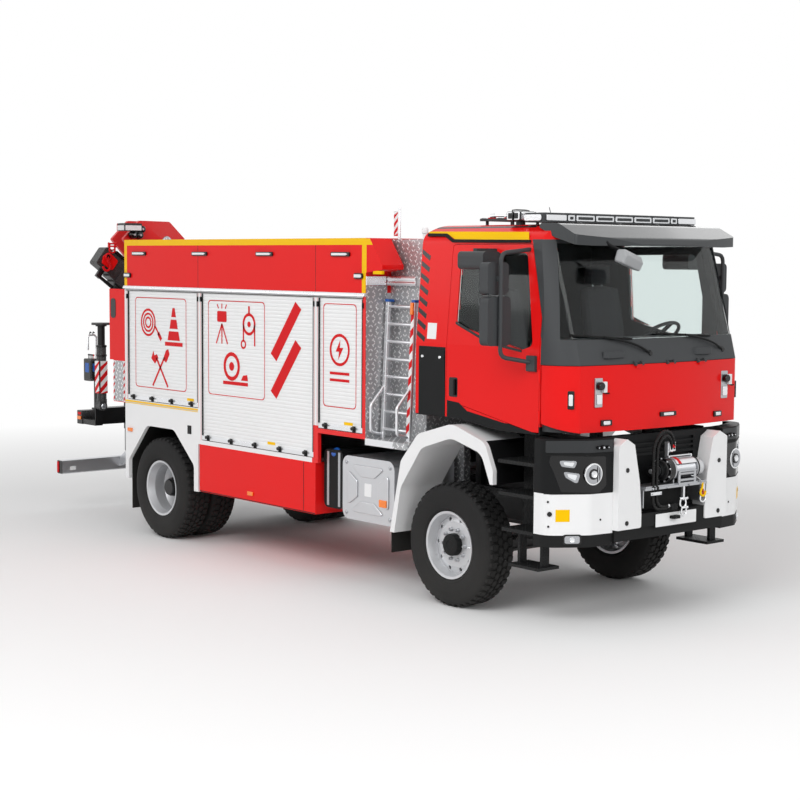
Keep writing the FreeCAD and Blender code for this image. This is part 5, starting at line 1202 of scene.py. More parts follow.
DISCS += [(f"corner_bolt_@_{i}", y, z, 0.009, "gloss_black", 0.004, 0.0)
          for i, (y, z) in enumerate(((-1.208, 1.075), (-1.205, 0.872), (-0.82, 0.92)))]
for i, (y, r) in enumerate(((-0.865, 0.014), (-0.815, 0.020), (-0.765, 0.014))):
    DISCS += [(f"band_fitting_@_{i}", y, 1.515, r, "gloss_black", 0.022, 0.005),
              (f"band_fitting_cap_@_{i}", y, 1.515, r * 0.45, "bright", 0.026, 0.005)]


# %% Headlamps
def headlamps(suffix, s):
    for name, outline, out, mat, depth in STRIPS:
        corner_strip(f"{name}_{suffix}", outline, out, mat, s, depth=depth)
    for name, y, z, r, mat, depth, out in DISCS:
        lamp_disc(name.replace("@", suffix), y, z, r, s, mat, depth, out)
    for i, dy in enumerate((-0.058, -0.036, 0.036, 0.058)):
        half = math.sqrt(0.078 ** 2 - dy ** 2)
        flute = rect(LAMP_Y + dy - 0.003, LAMP_Y + dy + 0.003, LAMP_Z - half, LAMP_Z + half)
        corner_strip(f"headlamp_flute_{suffix}_{i}", flute, 0.0185, "gloss_black", s, steps=2, depth=0.003)
    for i, z in enumerate((1.315, 0.875)):
        bolt = [(0.0, 0.004), (0.016, 0.006), (0.020, 0.004), (0.020, -0.002)]
        lathe(f"upright_bolt_{suffix}_{i}", bolt, "x", (F + 1.5405, s * 0.585, z), "gloss_black", count=24)


sided(headlamps)
solid("plate_blank", "x", F + 1.531, F + 1.537, rect(-0.22, 0.30, 0.805, 0.915, 0.008), "white", bevel=0.002)
solid("plate_holder", "x", F + 1.5302, F + 1.534, rect(-0.23, 0.31, 0.795, 0.925, 0.010), "plastic",
      bevel=0.001)

# %% [markdown]
# ## Winch: gear case, drum cover, motor, manifold, hoses, hook and shackles
# The winch sits on a tray in the bumper, with a drum, a motor and two hoses in spiral guards. The hoses could
# be plain tubes; a thin wire is wound round them by a formula, as its turns are seen.

# %% Winch
WX, WZ = F + 1.478, 1.272


def band(name, r, y0, y1, mat, lip=0.002):
    """A short sleeve round a shaft that runs along Y, with eased ends."""
    profile = [(0.0, y0), (r - lip, y0), (r, y0 + lip), (r, y1 - lip), (r - lip, y1), (0.0, y1)]
    lathe(name, profile, "y", (WX, 0, WZ), mat, count=56)


band("winch_gear_case", 0.109, -0.092, -0.027, "gloss_black", 0.006)
band("winch_case_step", 0.086, -0.108, -0.092, "black", 0.005)
band("winch_motor", 0.060, -0.154, -0.108, "plastic", 0.004)
band("winch_motor_end", 0.049, -0.229, -0.154, "plastic", 0.008)
band("winch_motor_cap", 0.021, -0.234, -0.229, "bright", 0.002)
for i, (x, z) in enumerate(around(9, 0.097, WX, WZ, 0.2)):
    bolt = [(0.0, -0.010), (0.0075, -0.010), (0.0085, -0.008), (0.0085, 0.0)]
    lathe(f"winch_case_bolt_{i}", bolt, "y", (x, -0.0915, z), "bright", count=6)
rope = [(0.0, -0.0015)]
for i in range(22):
    y = 0.0 + i * 0.0118
    rope += [(0.0785, y), (0.0815, y + 0.003), (0.083, y + 0.0059), (0.0815, y + 0.0088)]
lathe("winch_rope", rope + [(0.0785, 0.2596), (0.0, 0.2600)], "y", (WX, 0, WZ), "steel", count=48)
for name, y0, y1, r, mat in (("winch_cover", 0.004, 0.258, 0.1015, "bright"),
                             ("winch_cover_band", 0.030, 0.066, 0.1025, "signal_red")):
    turns = [math.radians(200 - 4.8 * k) for k in range(36)]
    arc = [(WX + r * math.cos(a), WZ + r * math.sin(a)) for a in turns]
    arc += [(WX + (r - 0.003) * math.cos(a), WZ + (r - 0.003) * math.sin(a)) for a in reversed(turns)]
    solid(name, "y", y0, y1, arc, mat, bevel=0.0)
band("winch_end_ring", 0.101, 0.2745, 0.292, "gloss_black", 0.003)
band("winch_end_case", 0.076, 0.292, 0.374, "silver", 0.010)
band("winch_clutch", 0.030, 0.381, 0.388, "gloss_black", 0.003)
solid("winch_top_tie", "y", -0.014, 0.262, rect(WX - 0.012, WX + 0.012, WZ + 0.108, WZ + 0.118), "bright",
      bevel=0.002)
for i, y in enumerate((-0.020, 0.268)):
    solid(f"winch_tie_end_{i}", "y", y - 0.006, y + 0.006,
          rect(WX - 0.02, WX + 0.02, WZ + 0.010, WZ + 0.120, 0.008), "bright", bevel=0.001)
# manifold with two unions, on a strap from the gear case's cheek
solid("hose_strap", "y", -0.012, -0.002,
      [(F + 1.440, 1.27), (F + 1.475, 1.27), (F + 1.475, 1.50), (F + 1.440, 1.50)], "bright", bevel=0.002)
solid("hose_manifold", "y", -0.002, 0.070, rect(F + 1.425, F + 1.490, 1.425, 1.505, 0.006), "bright",
      bevel=0.003)
solid("manifold_knob", "x", F + 1.490, F + 1.500, circle(0.040, 1.47, 0.017, 20), "signal_red", bevel=0.003)


HOSE_R, HOSE_BEND = 0.0125, 0.105
GUARD_STEP, GUARD_PITCH = 0.0028, 0.0150


# %% Hose route
def hose_route(y_top, y_down, z_low, y_end, x0, x1):
    """Points of a hose that arches over beside the winch and comes back in beneath its tray."""
    r = (y_top - y_down) / 2
    points = [(x0, y_top, 1.425), (x0 + (x1 - x0) * 0.25, y_top, 1.44)]
    for k in range(1, 12):
        a = math.pi * k / 12
        points.append((x0 + (x1 - x0) * min(1.0, 0.25 + k / 12), (y_top + y_down) / 2 + r * math.cos(a),
                       1.44 + r * math.sin(a)))
    points += [(x1, y_down, 1.42 - (1.42 - z_low - HOSE_BEND) * k / 7) for k in range(8)]
    for k in range(1, 7):
        a = math.pi / 2 * k / 6
        points.append((x1 - 0.02 * k / 6, y_down + HOSE_BEND * (1 - math.cos(a)),
                       z_low + HOSE_BEND * (1 - math.sin(a))))
    return points + [(x1 - 0.02, y_down + HOSE_BEND + (y_end - y_down - HOSE_BEND) * t, z_low)
                     for t in (0.33, 0.66, 1.0)]


def spiral_guard(name, points):
    """A thin wire wound round a hose's route."""
    steps = []
    for a, b in zip(points, points[1:]):
        a, b = Vector(a), Vector(b)
        n = max(1, round((b - a).length / GUARD_STEP))
        steps += [(a + (b - a) * i / n, (b - a).normalized()) for i in range(n)]
    coil = []
    for i, (p, d) in enumerate(steps[3:-3]):
        n = d.cross(Vector((1, 0, 0))).normalized()
        t = 2 * math.pi * i * GUARD_STEP / GUARD_PITCH
        coil.append(p + (n * math.cos(t) + d.cross(n) * math.sin(t)) * (HOSE_R + 0.001))
    guard = tube(name, coil, 0.0024, "gloss_black", order=2)
    guard.data.bevel_resolution = 1
    return guard


# %% Hoses in place
def sleeve(r, half):
    """Profile of a short round sleeve with eased ends."""
    return [(0.0, -half), (r - 0.002, -half), (r, -half + 0.004), (r, half - 0.004), (r - 0.002, half),
            (0.0, half)]


def hose(name, *route):
    points = hose_route(*route)
    obj = tube(name, points, HOSE_R, "rubber", resolution=6)
    top = (points[0][0], points[0][1], 1.432)
    pieces = [spiral_guard(name + "_guard", points)]
    pieces += [lathe(f"{name}_union_{k}", sleeve(0.018, 0.014), axis, at, "chrome", count=6)
               for k, (axis, at) in enumerate((("z", top), ("y", points[-1])))]


hose("winch_hose_a", 0.018, -0.240, 0.972, -0.06, F + 1.458, F + 1.556)
hose("winch_hose_b", 0.052, -0.285, 0.955, -0.03, F + 1.458, F + 1.5555)
for i, y in enumerate((-0.240, -0.285)):
    lathe(f"hose_grommet_{i}", sleeve(0.021, 0.014), "z", (F + 1.5555, y, 1.140), "rubber", count=24)
solid("hose_clamp", "x", F + 1.5705, F + 1.577, rect(-0.330, -0.195, 1.085, 1.112, 0.006), "bright",
      bevel=0.002)
for i, y in enumerate((-0.317, -0.208)):
    lathe(f"hose_clamp_bolt_{i}", [(0.0, 0.006), (0.006, 0.006), (0.007, 0.004), (0.007, 0.0)], "x",
          (F + 1.577, y, 1.098), "steel", count=6)
solid("hose_end_block", "y", -0.048, 0.03, rect(F + 1.515, F + 1.56, 0.940, 0.992, 0.005), "plastic",
      bevel=0.003)
solid("hose_end_lug", "y", -0.010, 0.028, rect(F + 1.49, F + 1.517, 0.934, 0.975), "plastic", bevel=0.002)


# %% Shackles, hook and bolts
def shackle(name, x, y, z, size, mat, body="chassis"):
    """A bow shackle with its pin; the pin lies along Y at (x, y, z) and the bow hangs down."""
    w, h, r = 0.5 * size, 1.15 * size, 0.15 * size
    bow = [(-w, 0), (-w * 1.05, -h * 0.25), (-w * 1.3, -h * 0.55), (-w * 1.05, -h * 0.95), (0, -h * 1.12),
           (w * 1.05, -h * 0.95), (w * 1.3, -h * 0.55), (w * 1.05, -h * 0.25), (w, 0)]
    tube(name + "_bow", [(x, y + a, z + b) for a, b in bow], r, mat, body)
    pin = [(0.0, -w * 1.7), (r * 1.7, -w * 1.7), (r * 1.8, -w * 1.35), (r * 1.1, -w * 1.3),
           (r * 1.1, w * 1.45),
           (r * 1.7, w * 1.5), (r * 1.7, w * 1.75), (0.0, w * 1.75)]
    lathe(name + "_pin", pin, "y", (x, y, z), mat, body, 20)


for name, y, z in (("a", 0.085, 1.012), ("b", 0.345, 1.032)):
    lug = [(F + 1.545, 1.131), (F + 1.572, 1.131), (F + 1.572, z + 0.018), (F + 1.566, z), (F + 1.551, z),
           (F + 1.545, z + 0.018)]
    solid(f"shackle_lug_{name}", "y", y, y + 0.020, lug, "bright", bevel=0.002)
shackle("shackle_a", F + 1.5585, 0.095, 1.026, 0.060, "chrome")
shackle("shackle_a2", F + 1.570, 0.095, 0.950, 0.052, "chrome")
shackle("shackle_b", F + 1.5585, 0.355, 1.046, 0.056, "chrome")
tube("winch_rope_tail", [(F + 1.562, 0.19, 1.215), (F + 1.576, 0.20, 1.213), (F + 1.578, 0.245, 1.200),
                         (F + 1.578, 0.300, 1.170), (F + 1.577, 0.325, 1.135)], 0.0055, "steel")
tube("winch_hook", [(F + 1.577, 0.325, 1.145), (F + 1.577, 0.330, 1.105), (F + 1.577, 0.305, 1.080),
                    (F + 1.577, 0.300, 1.045), (F + 1.577, 0.335, 1.025), (F + 1.577, 0.368, 1.045),
                    (F + 1.577, 0.366, 1.070)],
     0.0095, "yellow")
solid("winch_hook_latch", "y", 0.334, 0.342, [(F + 1.570, 1.090), (F + 1.580, 1.090), (F + 1.580, 1.045),
                                              (F + 1.570, 1.045)], "signal_red", bevel=0.001)
for i, y in enumerate((-0.30, -0.12, 0.16, 0.31)):
    bolt = [(0.0, 0.008), (0.009, 0.008), (0.0105, 0.006), (0.0105, 0.0)]
    lathe(f"tray_bolt_{i}", bolt, "x", (F + 1.5700, y, 1.140), "steel", count=6)
for i, z in enumerate((1.03, 1.09)):
    for k, (y, head) in enumerate(((-0.395, -0.006), (0.340, 0.006))):
        lathe(f"tray_side_bolt_{i}{k}", [(0.0, head), (0.008, head), (0.009, 0.0)], "y", (F + 1.47, y, z),
              "steel", count=6)

# %% [markdown]
# ## Roof: light bar, search lamp, horns, aerial and front mirror
# The cab's roof carries lights and horns. One strip would do for the light bar; separate lens fields show
# where its modules end.

# %% Roof
BAR_X, BAR_Z = F + 0.790, 3.344
BAR_EDGES = [-0.955, -0.70, -0.60, -0.36, -0.12, 0.12, 0.36, 0.60, 0.70, 0.955]
for i, (a, b) in enumerate(zip(BAR_EDGES, BAR_EDGES[1:])):
    end = i in (0, 8)
    for k, s in enumerate((1, -1)):
        x, w = BAR_X + s * 0.1305, s * 0.004
        lens = rect(a + 0.010, b - 0.010, BAR_Z + 0.014, BAR_Z + 0.062, 0.010)
        solid(f"bar_lens_{i}{k}", "x", *span(x, x + w), lens, "bright" if end else "lamp_white", bevel=0.002)
        if not end:
            core = rect(a + 0.030, b - 0.030, BAR_Z + 0.026, BAR_Z + 0.050, 0.006)
            solid(f"bar_core_{i}{k}", "x", *span(x + w, x + w * 1.5), core, "grey_plastic", bevel=0.001)
    top = rect(BAR_X - 0.105, BAR_X + 0.105, a + 0.012, b - 0.012, 0.012)
    solid(f"bar_top_{i}", "z", BAR_Z + 0.0782, BAR_Z + 0.0805, top, "bright" if end else "grey_plastic",
          bevel=0.001)
for i, s in enumerate((-1, 1)):
    cap = rect(BAR_X - 0.10, BAR_X + 0.10, BAR_Z + 0.012, BAR_Z + 0.064, 0.020)
    solid(f"bar_end_{i}", "y", *span(s * 0.972, s * 0.978), cap, "lamp_white", bevel=0.002)
LAMP_X = F + 0.515
BAIL = [(-0.940, 3.345), (-0.944, 3.40), (-0.944, 3.448), (-0.90, 3.452), (-0.79, 3.452), (-0.748, 3.448),
        (-0.748, 3.36)]
for name, axis, low, high, middle, half, z0, z1, r, mat, bevel in (
        ("side", "y", -0.936, -0.9305, LAMP_X, 0.076, 3.366, 3.436, 0.012, "chrome", 0.002),
        ("side_glass", "y", -0.938, -0.936, LAMP_X, 0.060, 3.377, 3.425, 0.008, "gloss_black", 0.001),
        ("face", "x", F + 0.6005, F + 0.606, -0.845, 0.076, 3.366, 3.436, 0.012, "chrome", 0.002),
        ("glass", "x", F + 0.606, F + 0.609, -0.845, 0.063, 3.377, 3.425, 0.010, "lamp_white", 0.001)):
    solid(f"search_lamp_{name}", axis, low, high, rect(middle - half, middle + half, z0, z1, r), mat,
          bevel=bevel)
tube("search_lamp_bail", [(LAMP_X, y, z) for y, z in BAIL], 0.006, "gloss_black", order=2)
HORN = [(0.0, -0.16), (0.022, -0.16), (0.024, -0.12), (0.009, -0.10), (0.010, 0.05), (0.018, 0.16),
        (0.034, 0.205),
        (0.031, 0.200), (0.0, 0.10)]
for i, y in enumerate((-0.70, -0.52)):
    lathe(f"air_horn_{i}", HORN, "x", (F + 0.16, y, 3.412), "chrome", count=32)
    for k, x in enumerate((F + 0.03, F + 0.22)):
        foot = [(y - 0.018, 3.386), (y + 0.018, 3.386), (y + 0.011, 3.413), (y - 0.011, 3.413)]
        solid(f"horn_foot_{i}{k}", "x", x - 0.01, x + 0.01, foot, "gloss_black", bevel=0.002)
for i in range(5):
    x = F - 0.04 + i * 0.10
    solid(f"rack_bar_{i}", "x", x - 0.009, x + 0.009, rect(-0.79, -0.41, 3.386, 3.396),
          "signal_red" if i % 2 else "bright")
lathe("aerial_foot", [(0.0, 0.045), (0.010, 0.042), (0.016, 0.020), (0.020, 0.0)], "z",
      (F + 0.30, -0.25, 3.329), "gloss_black", count=24)
tube("aerial", [(F + 0.300, -0.25, 3.37), (F + 0.285, -0.25, 3.43), (F + 0.262, -0.25, 3.494)], 0.0035,
     "gloss_black", order=2)
# kerb-view mirror hung from the visor's lip, in front of the screen
CASE = [(-0.055, -0.045), (0.040, -0.062), (0.060, 0.010), (0.030, 0.062), (-0.045, 0.055)]
FACE = [(-0.0575, -0.036), (-0.0545, -0.036), (-0.0475, 0.046), (-0.0505, 0.046)]
TILT, TOE = math.radians(-14), math.radians(12)
mirror = solid("front_mirror", "y", -0.145, 0.145, rounded(CASE, 0.020), "pale_plastic", bevel=0.018)
glass_face = solid("front_mirror_glass", "y", -0.125, 0.125, FACE, "chrome", bevel=0.001)
for part in (mirror, glass_face):
    turn = Matrix.Rotation(TILT, 4, "X") @ Matrix.Rotation(TOE, 4, "Z")
    part.data.transform(Matrix.Translation((F + 1.435, -0.500, 3.035)) @ turn)
tube("front_mirror_arm", [(F + 1.425, -0.52, 3.085), (F + 1.40, -0.60, 3.13), (F + 1.36, -0.66, 3.155),
                          (F + 1.35, -0.68, 3.185)], 0.012, "plastic")
VISOR_FOOT = [(F + 0.93, 3.335), (F + 1.06, 3.347), (F + 1.10, 3.338), (F + 1.10, 3.328), (F + 0.93, 3.318)]
for i, y in enumerate((-0.72, -0.24, 0.24, 0.72)):
    solid(f"visor_foot_{i}", "y", y - 0.018, y + 0.018, VISOR_FOOT, "gloss_black")

# %% [markdown]
# ## Seats: stuffed cushions
# A seat is foam in a sewn cover, full in the middle and drawn in at the seams. A box with round edges looks
# hard, so a cube's faces are pushed towards a ball and pinched along the seams.

# %% Seats
SEAT_X, SEAT_Z = F + 0.15, 2.0003          # a hair above the seat bases


def cushion(name, lo, hi, tilt=0.0, puff=0.16, flutes=3, pivot=None):
    """A stuffed block: crowned faces, drawn-in seams across it and rounded corners."""
    n = 22                                # quads along each edge
    verts, index, faces = [], {}, []
    size = [hi[i] - lo[i] for i in range(3)]
    mid = [(hi[i] + lo[i]) / 2 for i in range(3)]

    def vert(p):
        key = tuple(round(q, 5) for q in p)
        if key not in index:
            u = Vector(p)
            q = u.lerp(u.normalized() * max(abs(c) for c in u), 0.28)
            squares = [c * c for c in u]
            q = Vector([q[i] * (1 - puff * 0.25 * (sum(squares) - squares[i]) / 2) for i in range(3)])
            side_seam = 0.05 * max(math.exp(-((u.y - c) / 0.035) ** 2) for c in (-0.62, 0.62))
            q *= 1 - side_seam - 0.03 * abs(math.cos(u.x * math.pi * flutes / 2)) ** 24
            index[key] = len(verts)
            verts.append([mid[i] + q[i] * size[i] / 2 for i in range(3)])
        return index[key]

    for axis in range(3):
        a, b = [i for i in range(3) if i != axis]
        for sign in (-1, 1):
            for i in range(n):
                for j in range(n):
                    quad = []
                    for di, dj in ((0, 0), (1, 0), (1, 1), (0, 1)):
                        p = [0, 0, 0]
                        p[axis], p[a], p[b] = sign, -1 + 2 * (i + di) / n, -1 + 2 * (j + dj) / n
                        quad.append(vert(p))
                    faces.append(quad)
    obj = link_mesh(name, verts, faces)
    if tilt:
        turn_about(obj, pivot, tilt, "Y")
    finish_piece(obj, "fabric", "chassis")
    return obj


for side, y in (("right", -0.64), ("left", 0.64)):
    seat = cushion(f"seat_base_{side}", (SEAT_X - 0.07, y - 0.24, SEAT_Z),
                   (SEAT_X + 0.41, y + 0.24, SEAT_Z + 0.130))
    if side == "right":
        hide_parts("seat_cushions")
    cushion(f"seat_back_{side}", (SEAT_X - 0.055, y - 0.24, SEAT_Z + 0.125),
            (SEAT_X + 0.065, y + 0.24, SEAT_Z + 0.800),
            tilt=-10.5, pivot=(SEAT_X - 0.05, y, SEAT_Z + 0.13), flutes=1)
    cushion(f"headrest_{side}", (SEAT_X - 0.185, y - 0.14, SEAT_Z + 0.800),
            (SEAT_X - 0.085, y + 0.14, SEAT_Z + 0.995))
    for k, dy in enumerate((-0.06, 0.06)):
        pin = [(SEAT_X - 0.130, y + dy, SEAT_Z + 0.77), (SEAT_X - 0.135, y + dy, SEAT_Z + 0.86)]
        tube(f"headrest_pin_{side}_{k}", pin, 0.006, "chrome", order=2)

# %% [markdown]
# ## Crane: hooks, pins, link plates, colours and the outriggers' markings
# The folded boom lies slanted across the rear, so nothing on it is level. Its plates could be turned one by
# one; they are drawn along the boom by run and offset instead.

# %% Crane
CX = F - 6.490                           # the column's axis
COLUMN, EXTENSION = "crane_column", "boom_extension"
HEAD = [(-0.36, 3.40), (-0.45, 3.40), (-0.58, 3.32), (-0.57, 3.26), (-0.48, 3.25), (-0.38, 3.32)]
solid("head_box_face", "x", CX + 0.3305, CX + 0.3325, rect(-0.722, -0.508, 3.343, 3.400, 0.006), "white",
      COLUMN, 0.0005)
solid("head_box_top", "z", 3.4252, 3.4272, rect(CX + 0.170, CX + 0.310, -0.715, -0.515, 0.012), "gloss_black",
      COLUMN, 0.001)
solid("head_box_side", "y", -0.7325, -0.7305, rect(CX + 0.165, CX + 0.315, 3.345, 3.400, 0.006), "white",
      COLUMN, 0.0005)
solid("head_link", "x", CX + 0.152, CX + 0.172, rounded(HEAD, 0.035), "gloss_black", COLUMN, 0.004)
HEAD_PIN = [(0.0, 0.052), (0.030, 0.052), (0.040, 0.044), (0.040, 0.006), (0.046, 0.0)]
for i, (y, z) in enumerate(((-0.42, 3.36), (-0.535, 3.295), (-0.45, 3.29))):
    lathe(f"head_pin_{i}", HEAD_PIN, "x", (CX + 0.172, y, z), "gloss_black", COLUMN, 32)
    lathe(f"head_pin_cap_{i}", [(0.0, 0.006), (0.012, 0.006), (0.016, 0.0)], "x", (CX + 0.224, y, z), "steel",
          COLUMN, 20)
PIVOT_CAP = [(0.0, 0.016), (0.050, 0.016), (0.062, 0.010), (0.066, 0.0)]
PIVOT_BOLT = [(0.0, 0.008), (0.008, 0.008), (0.010, 0.0)]
lathe("pivot_cap", PIVOT_CAP, "x", (CX + 0.150, -0.05, 3.22), "steel", COLUMN, 40)
for i, (y, z) in enumerate(around(6, 0.040, -0.05, 3.22, 0.0)):
    lathe(f"pivot_bolt_{i}", PIVOT_BOLT, "x", (CX + 0.1655, y, z), "chrome", COLUMN, 6)
KNEE, TIP = Vector((0, 0.720, 1.724)), Vector((0, -1.050, 3.060))
AHEAD = (TIP - KNEE).normalized()
OUT = Vector((0, -AHEAD.z, AHEAD.y))
HIGH = CX + 0.265 + 0.095                # the outer boom's front face


def on_boom(*points):
    """(Y, Z) of points given along the folded outer boom and off its centre line."""
    return [tuple(KNEE + AHEAD * run - OUT * off)[1:] for run, off in points]


# a hook and two shackles stowed on the boom's head, red as the head plate
PLATE = on_boom((2.00, -0.07), (2.00, 0.07), (2.16, 0.08), (2.195, 0.0), (2.16, -0.08))
solid("hook_plate", "x", HIGH - 0.0145, HIGH + 0.004, rounded(PLATE, 0.03), "red", EXTENSION, 0.004)
py, pz = on_boom((2.15, 0.02))[0]
EYE_PIN = [(0.0, 0.030), (0.022, 0.030), (0.026, 0.024), (0.026, 0.0)]
HOOK = [(0.0, 0.0), (-0.012, -0.045), (0.020, -0.085), (0.030, -0.130), (-0.010, -0.165), (-0.055, -0.150),
        (-0.065, -0.110)]
TURNS = [2 * math.pi * k / 12 for k in range(12)]
RING = [(HIGH + 0.022, py + 0.030 * math.cos(a), pz + 0.034 * math.sin(a)) for a in TURNS]
lathe("hook_eye_pin", EYE_PIN, "x", (HIGH + 0.003, py, pz), "gloss_black", EXTENSION, 24)
tube("crane_hook", [(HIGH + 0.022, py + y, pz + z) for y, z in HOOK], 0.014, "signal_red", EXTENSION)
tube("crane_hook_ring", RING, 0.011, "signal_red", EXTENSION, cyclic=True)
shackle("boom_shackle_a", HIGH + 0.020, py + 0.055, pz + 0.120, 0.060, "signal_red", EXTENSION)
shackle("boom_shackle_b", HIGH - 0.030, py + 0.085, pz + 0.150, 0.060, "signal_red", EXTENSION)
RACK = on_boom((1.945, 0.145), (1.945, 0.118), (2.10, 0.118), (2.10, 0.145))
solid("shackle_rack", "x", HIGH - 0.050, HIGH + 0.030, rounded(RACK, 0.006), "gloss_black", EXTENSION)
for i, run in enumerate((0.60, 1.10, 1.60)):
    outline = on_boom((run - 0.012, 0.151), (run + 0.012, 0.151), (run + 0.012, -0.151),
                      (run - 0.012, -0.151))
    solid(f"boom_band_{i}", "x", HIGH - 0.0002, HIGH + 0.003, outline, "black", "outer_boom", 0.001)
STRIP = on_boom((0.70, 0.10), (1.50, 0.10), (1.50, 0.055), (0.70, 0.055))
solid("boom_strip", "x", HIGH + 0.0005, HIGH + 0.0018, STRIP, "white", "outer_boom", 0.0)
LEGX, LEGY, PIV = F - 6.0, 1.145, 1.330


# %% Outriggers and the control desk
def outrigger(suffix, s):
    leg, beam, foot = f"outrigger_leg_{suffix}", f"outrigger_beam_{suffix}", f"outrigger_foot_{suffix}"
    ly = s * LEGY
    y = s * (LEGY + 0.0555)
    stripes(f"leg_film_{suffix}", "y", y, y + s * 0.002, LEGX - 0.045, LEGX + 0.045, 1.48, 1.85, leg, count=6)
    stripes(f"leg_film_front_{suffix}", "x", LEGX + 0.0555, LEGX + 0.0575, ly - 0.045, ly + 0.045, 1.48, 1.85,
            leg, count=6)
    collar = [(0.0435, 0.0), (0.060, 0.0), (0.062, 0.004), (0.062, 0.018), (0.060, 0.022), (0.0435, 0.022)]
    for i, z in enumerate((1.90, 2.005)):
        lathe(f"leg_collar_{suffix}_{i}", collar, "z", (LEGX, ly, z), "gloss_black", leg, 40)
    nut = [(0.0, 0.014), (0.028, 0.014), (0.034, 0.008), (0.034, 0.0)]
    lathe(f"pivot_nut_{suffix}", nut, "x", (LEGX + 0.040, ly, PIV), "steel", beam, 6)
    end, x = 1.200, F - 6.410             # the beam's outer end and its middle
    plate(f"beam_cap_{suffix}", s, end, end + 0.004, rect(x - 0.056, x + 0.056, 1.1, 1.25, 0.008),
          "gloss_black", beam, 0.001)
    plate(f"beam_lamp_{suffix}", s, end + 0.004, end + 0.016, rect(x - 0.040, x + 0.040, 1.150, 1.190, 0.008),
          "orange", beam)
    plate(f"beam_reflector_{suffix}", s, end + 0.004, end + 0.009,
          rect(x - 0.035, x + 0.035, 1.205, 1.235, 0.006),
          "signal_red", beam, 0.001)
    ring_low = [(0.0, 0.0), (0.060, 0.0), (0.064, -0.004), (0.064, -0.016), (0.0435, -0.020)]
    lathe(f"foot_ring_{suffix}", ring_low, "z", (LEGX, ly, PIV + 0.930), "gloss_black", foot, 40)
    pipe = ((0.055, 1.42), (0.068, 1.50), (0.068, 1.85), (0.052, 1.92))
    tube(f"leg_pipe_{suffix}", [(LEGX - 0.030, s * (LEGY - d), z) for d, z in pipe], 0.007, "rubber", leg)


sided(outrigger)
DX0, DX1 = F - 6.520, F - 6.350
solid("desk_panel", "x", DX1 + 0.0005, DX1 + 0.004, rect(-1.072, -0.988, 1.615, 1.825, 0.012), "gloss_black",
      bevel=0.001)
solid("desk_screen", "x", DX1 + 0.004, DX1 + 0.006, rect(-1.062, -0.998, 1.70, 1.795, 0.010), "blue",
      bevel=0.001)
solid("desk_panel_side", "y", -1.084, -1.0805, rect(DX0 + 0.014, DX1 - 0.014, 1.615, 1.825, 0.012),
      "gloss_black", bevel=0.001)
solid("desk_screen_side", "y", -1.086, -1.084, rect(DX0 + 0.040, DX1 - 0.045, 1.69, 1.800, 0.010), "blue",
      bevel=0.001)
KNOB = [(0.0, 0.052), (0.007, 0.050), (0.0095, 0.042), (0.007, 0.034), (0.004, 0.031), (0.004, 0.0)]
for i in range(5):
    at = (DX0 + 0.025 + i * 0.030, -1.03, 1.850)
    lathe(f"desk_lever_knob_{i}", KNOB, "z", at, "signal_red" if i == 4 else "gloss_black", count=16)
DESK_RAIL = [(-0.975, 1.850), (-0.975, 2.10), (-1.00, 2.125), (-1.07, 2.125), (-1.085, 2.10), (-1.085, 1.95)]
tube("desk_hook_rail", [(F - 6.41, y, z) for y, z in DESK_RAIL], 0.012, "bright", order=2)
for i, y in enumerate((-1.02, -1.06)):
    hook = [(F - 6.41, y, 2.128), (F - 6.41, y, 2.155), (F - 6.39, y, 2.165), (F - 6.375, y, 2.150)]
    tube(f"desk_hook_{i}", hook, 0.006, "plastic")

# %% [markdown]
# ## Rear end: column skin, underrun bar's lamps, tank cover and the body's front wall
# Below the body are the tank, the underrun bar and the rear lamps. Both sides are alike but for the tank, so
# one function makes a side and the tank's cover has its own.

# %% Rear end
def rear_and_low(suffix, s):
    skin = rect(BODY_REAR - 0.249, BODY_REAR - 0.002, 1.432, 1.884)
    plate(f"column_skin_{suffix}", s, HALF, HALF + 0.0012, skin, "tread", bevel=0.0)
    y0, y1 = s * (HALF + 0.0012), s * (HALF + 0.0022)
    stripes(f"column_film_{suffix}", "y", y0, y1, BODY_REAR - 0.249, BODY_REAR - 0.225, 1.432, 1.884,
            count=12)
    stripes(f"column_film_front_{suffix}", "y", y0, y1, BODY_REAR - 0.030, BODY_REAR - 0.006, 1.432, 1.884,
            count=12)
    plate(f"bar_cap_{suffix}", s, 1.200, 1.204, rect(-4.272, -4.158, 0.463, 0.617, 0.010), "gloss_black",
          bevel=0.001)
    plate(f"bar_lamp_{suffix}", s, 1.204, 1.214, rect(-4.262, -4.225, 0.475, 0.605, 0.008), "signal_red")
    marker = rect(*span(s * 1.10, s * 1.02), 0.50, 0.545, 0.003)
    solid(f"bar_plate_{suffix}", "x", -4.1548, -4.1538, marker, "white", bevel=0.0)
    wall = rect(*span(s * 1.246, s * 0.998), 1.399, 2.788)
    rail = rect(*span(s * 1.249, s * 1.016), 2.790, 2.875, 0.006)
    solid(f"front_wall_{suffix}", "x", BODY_FRONT + 0.0005, BODY_FRONT + 0.0025, wall, "tread", bevel=0.0)
    solid(f"front_wall_rail_{suffix}", "x", BODY_FRONT + 0.0005, BODY_FRONT + 0.012, rail, "bright")
    lens = [(0.0, -0.026), (0.030, -0.024), (0.040, -0.016), (0.042, 0.0)]
    for i, (z, mat) in enumerate(((0.93, "signal_red"), (1.03, "orange"), (1.13, "lamp_white"))):
        lathe(f"tail_lamp_{suffix}_{i}", lens, "x", (BODY_REAR - 0.0005, s * 1.165, z), mat, count=36)


sided(rear_and_low)


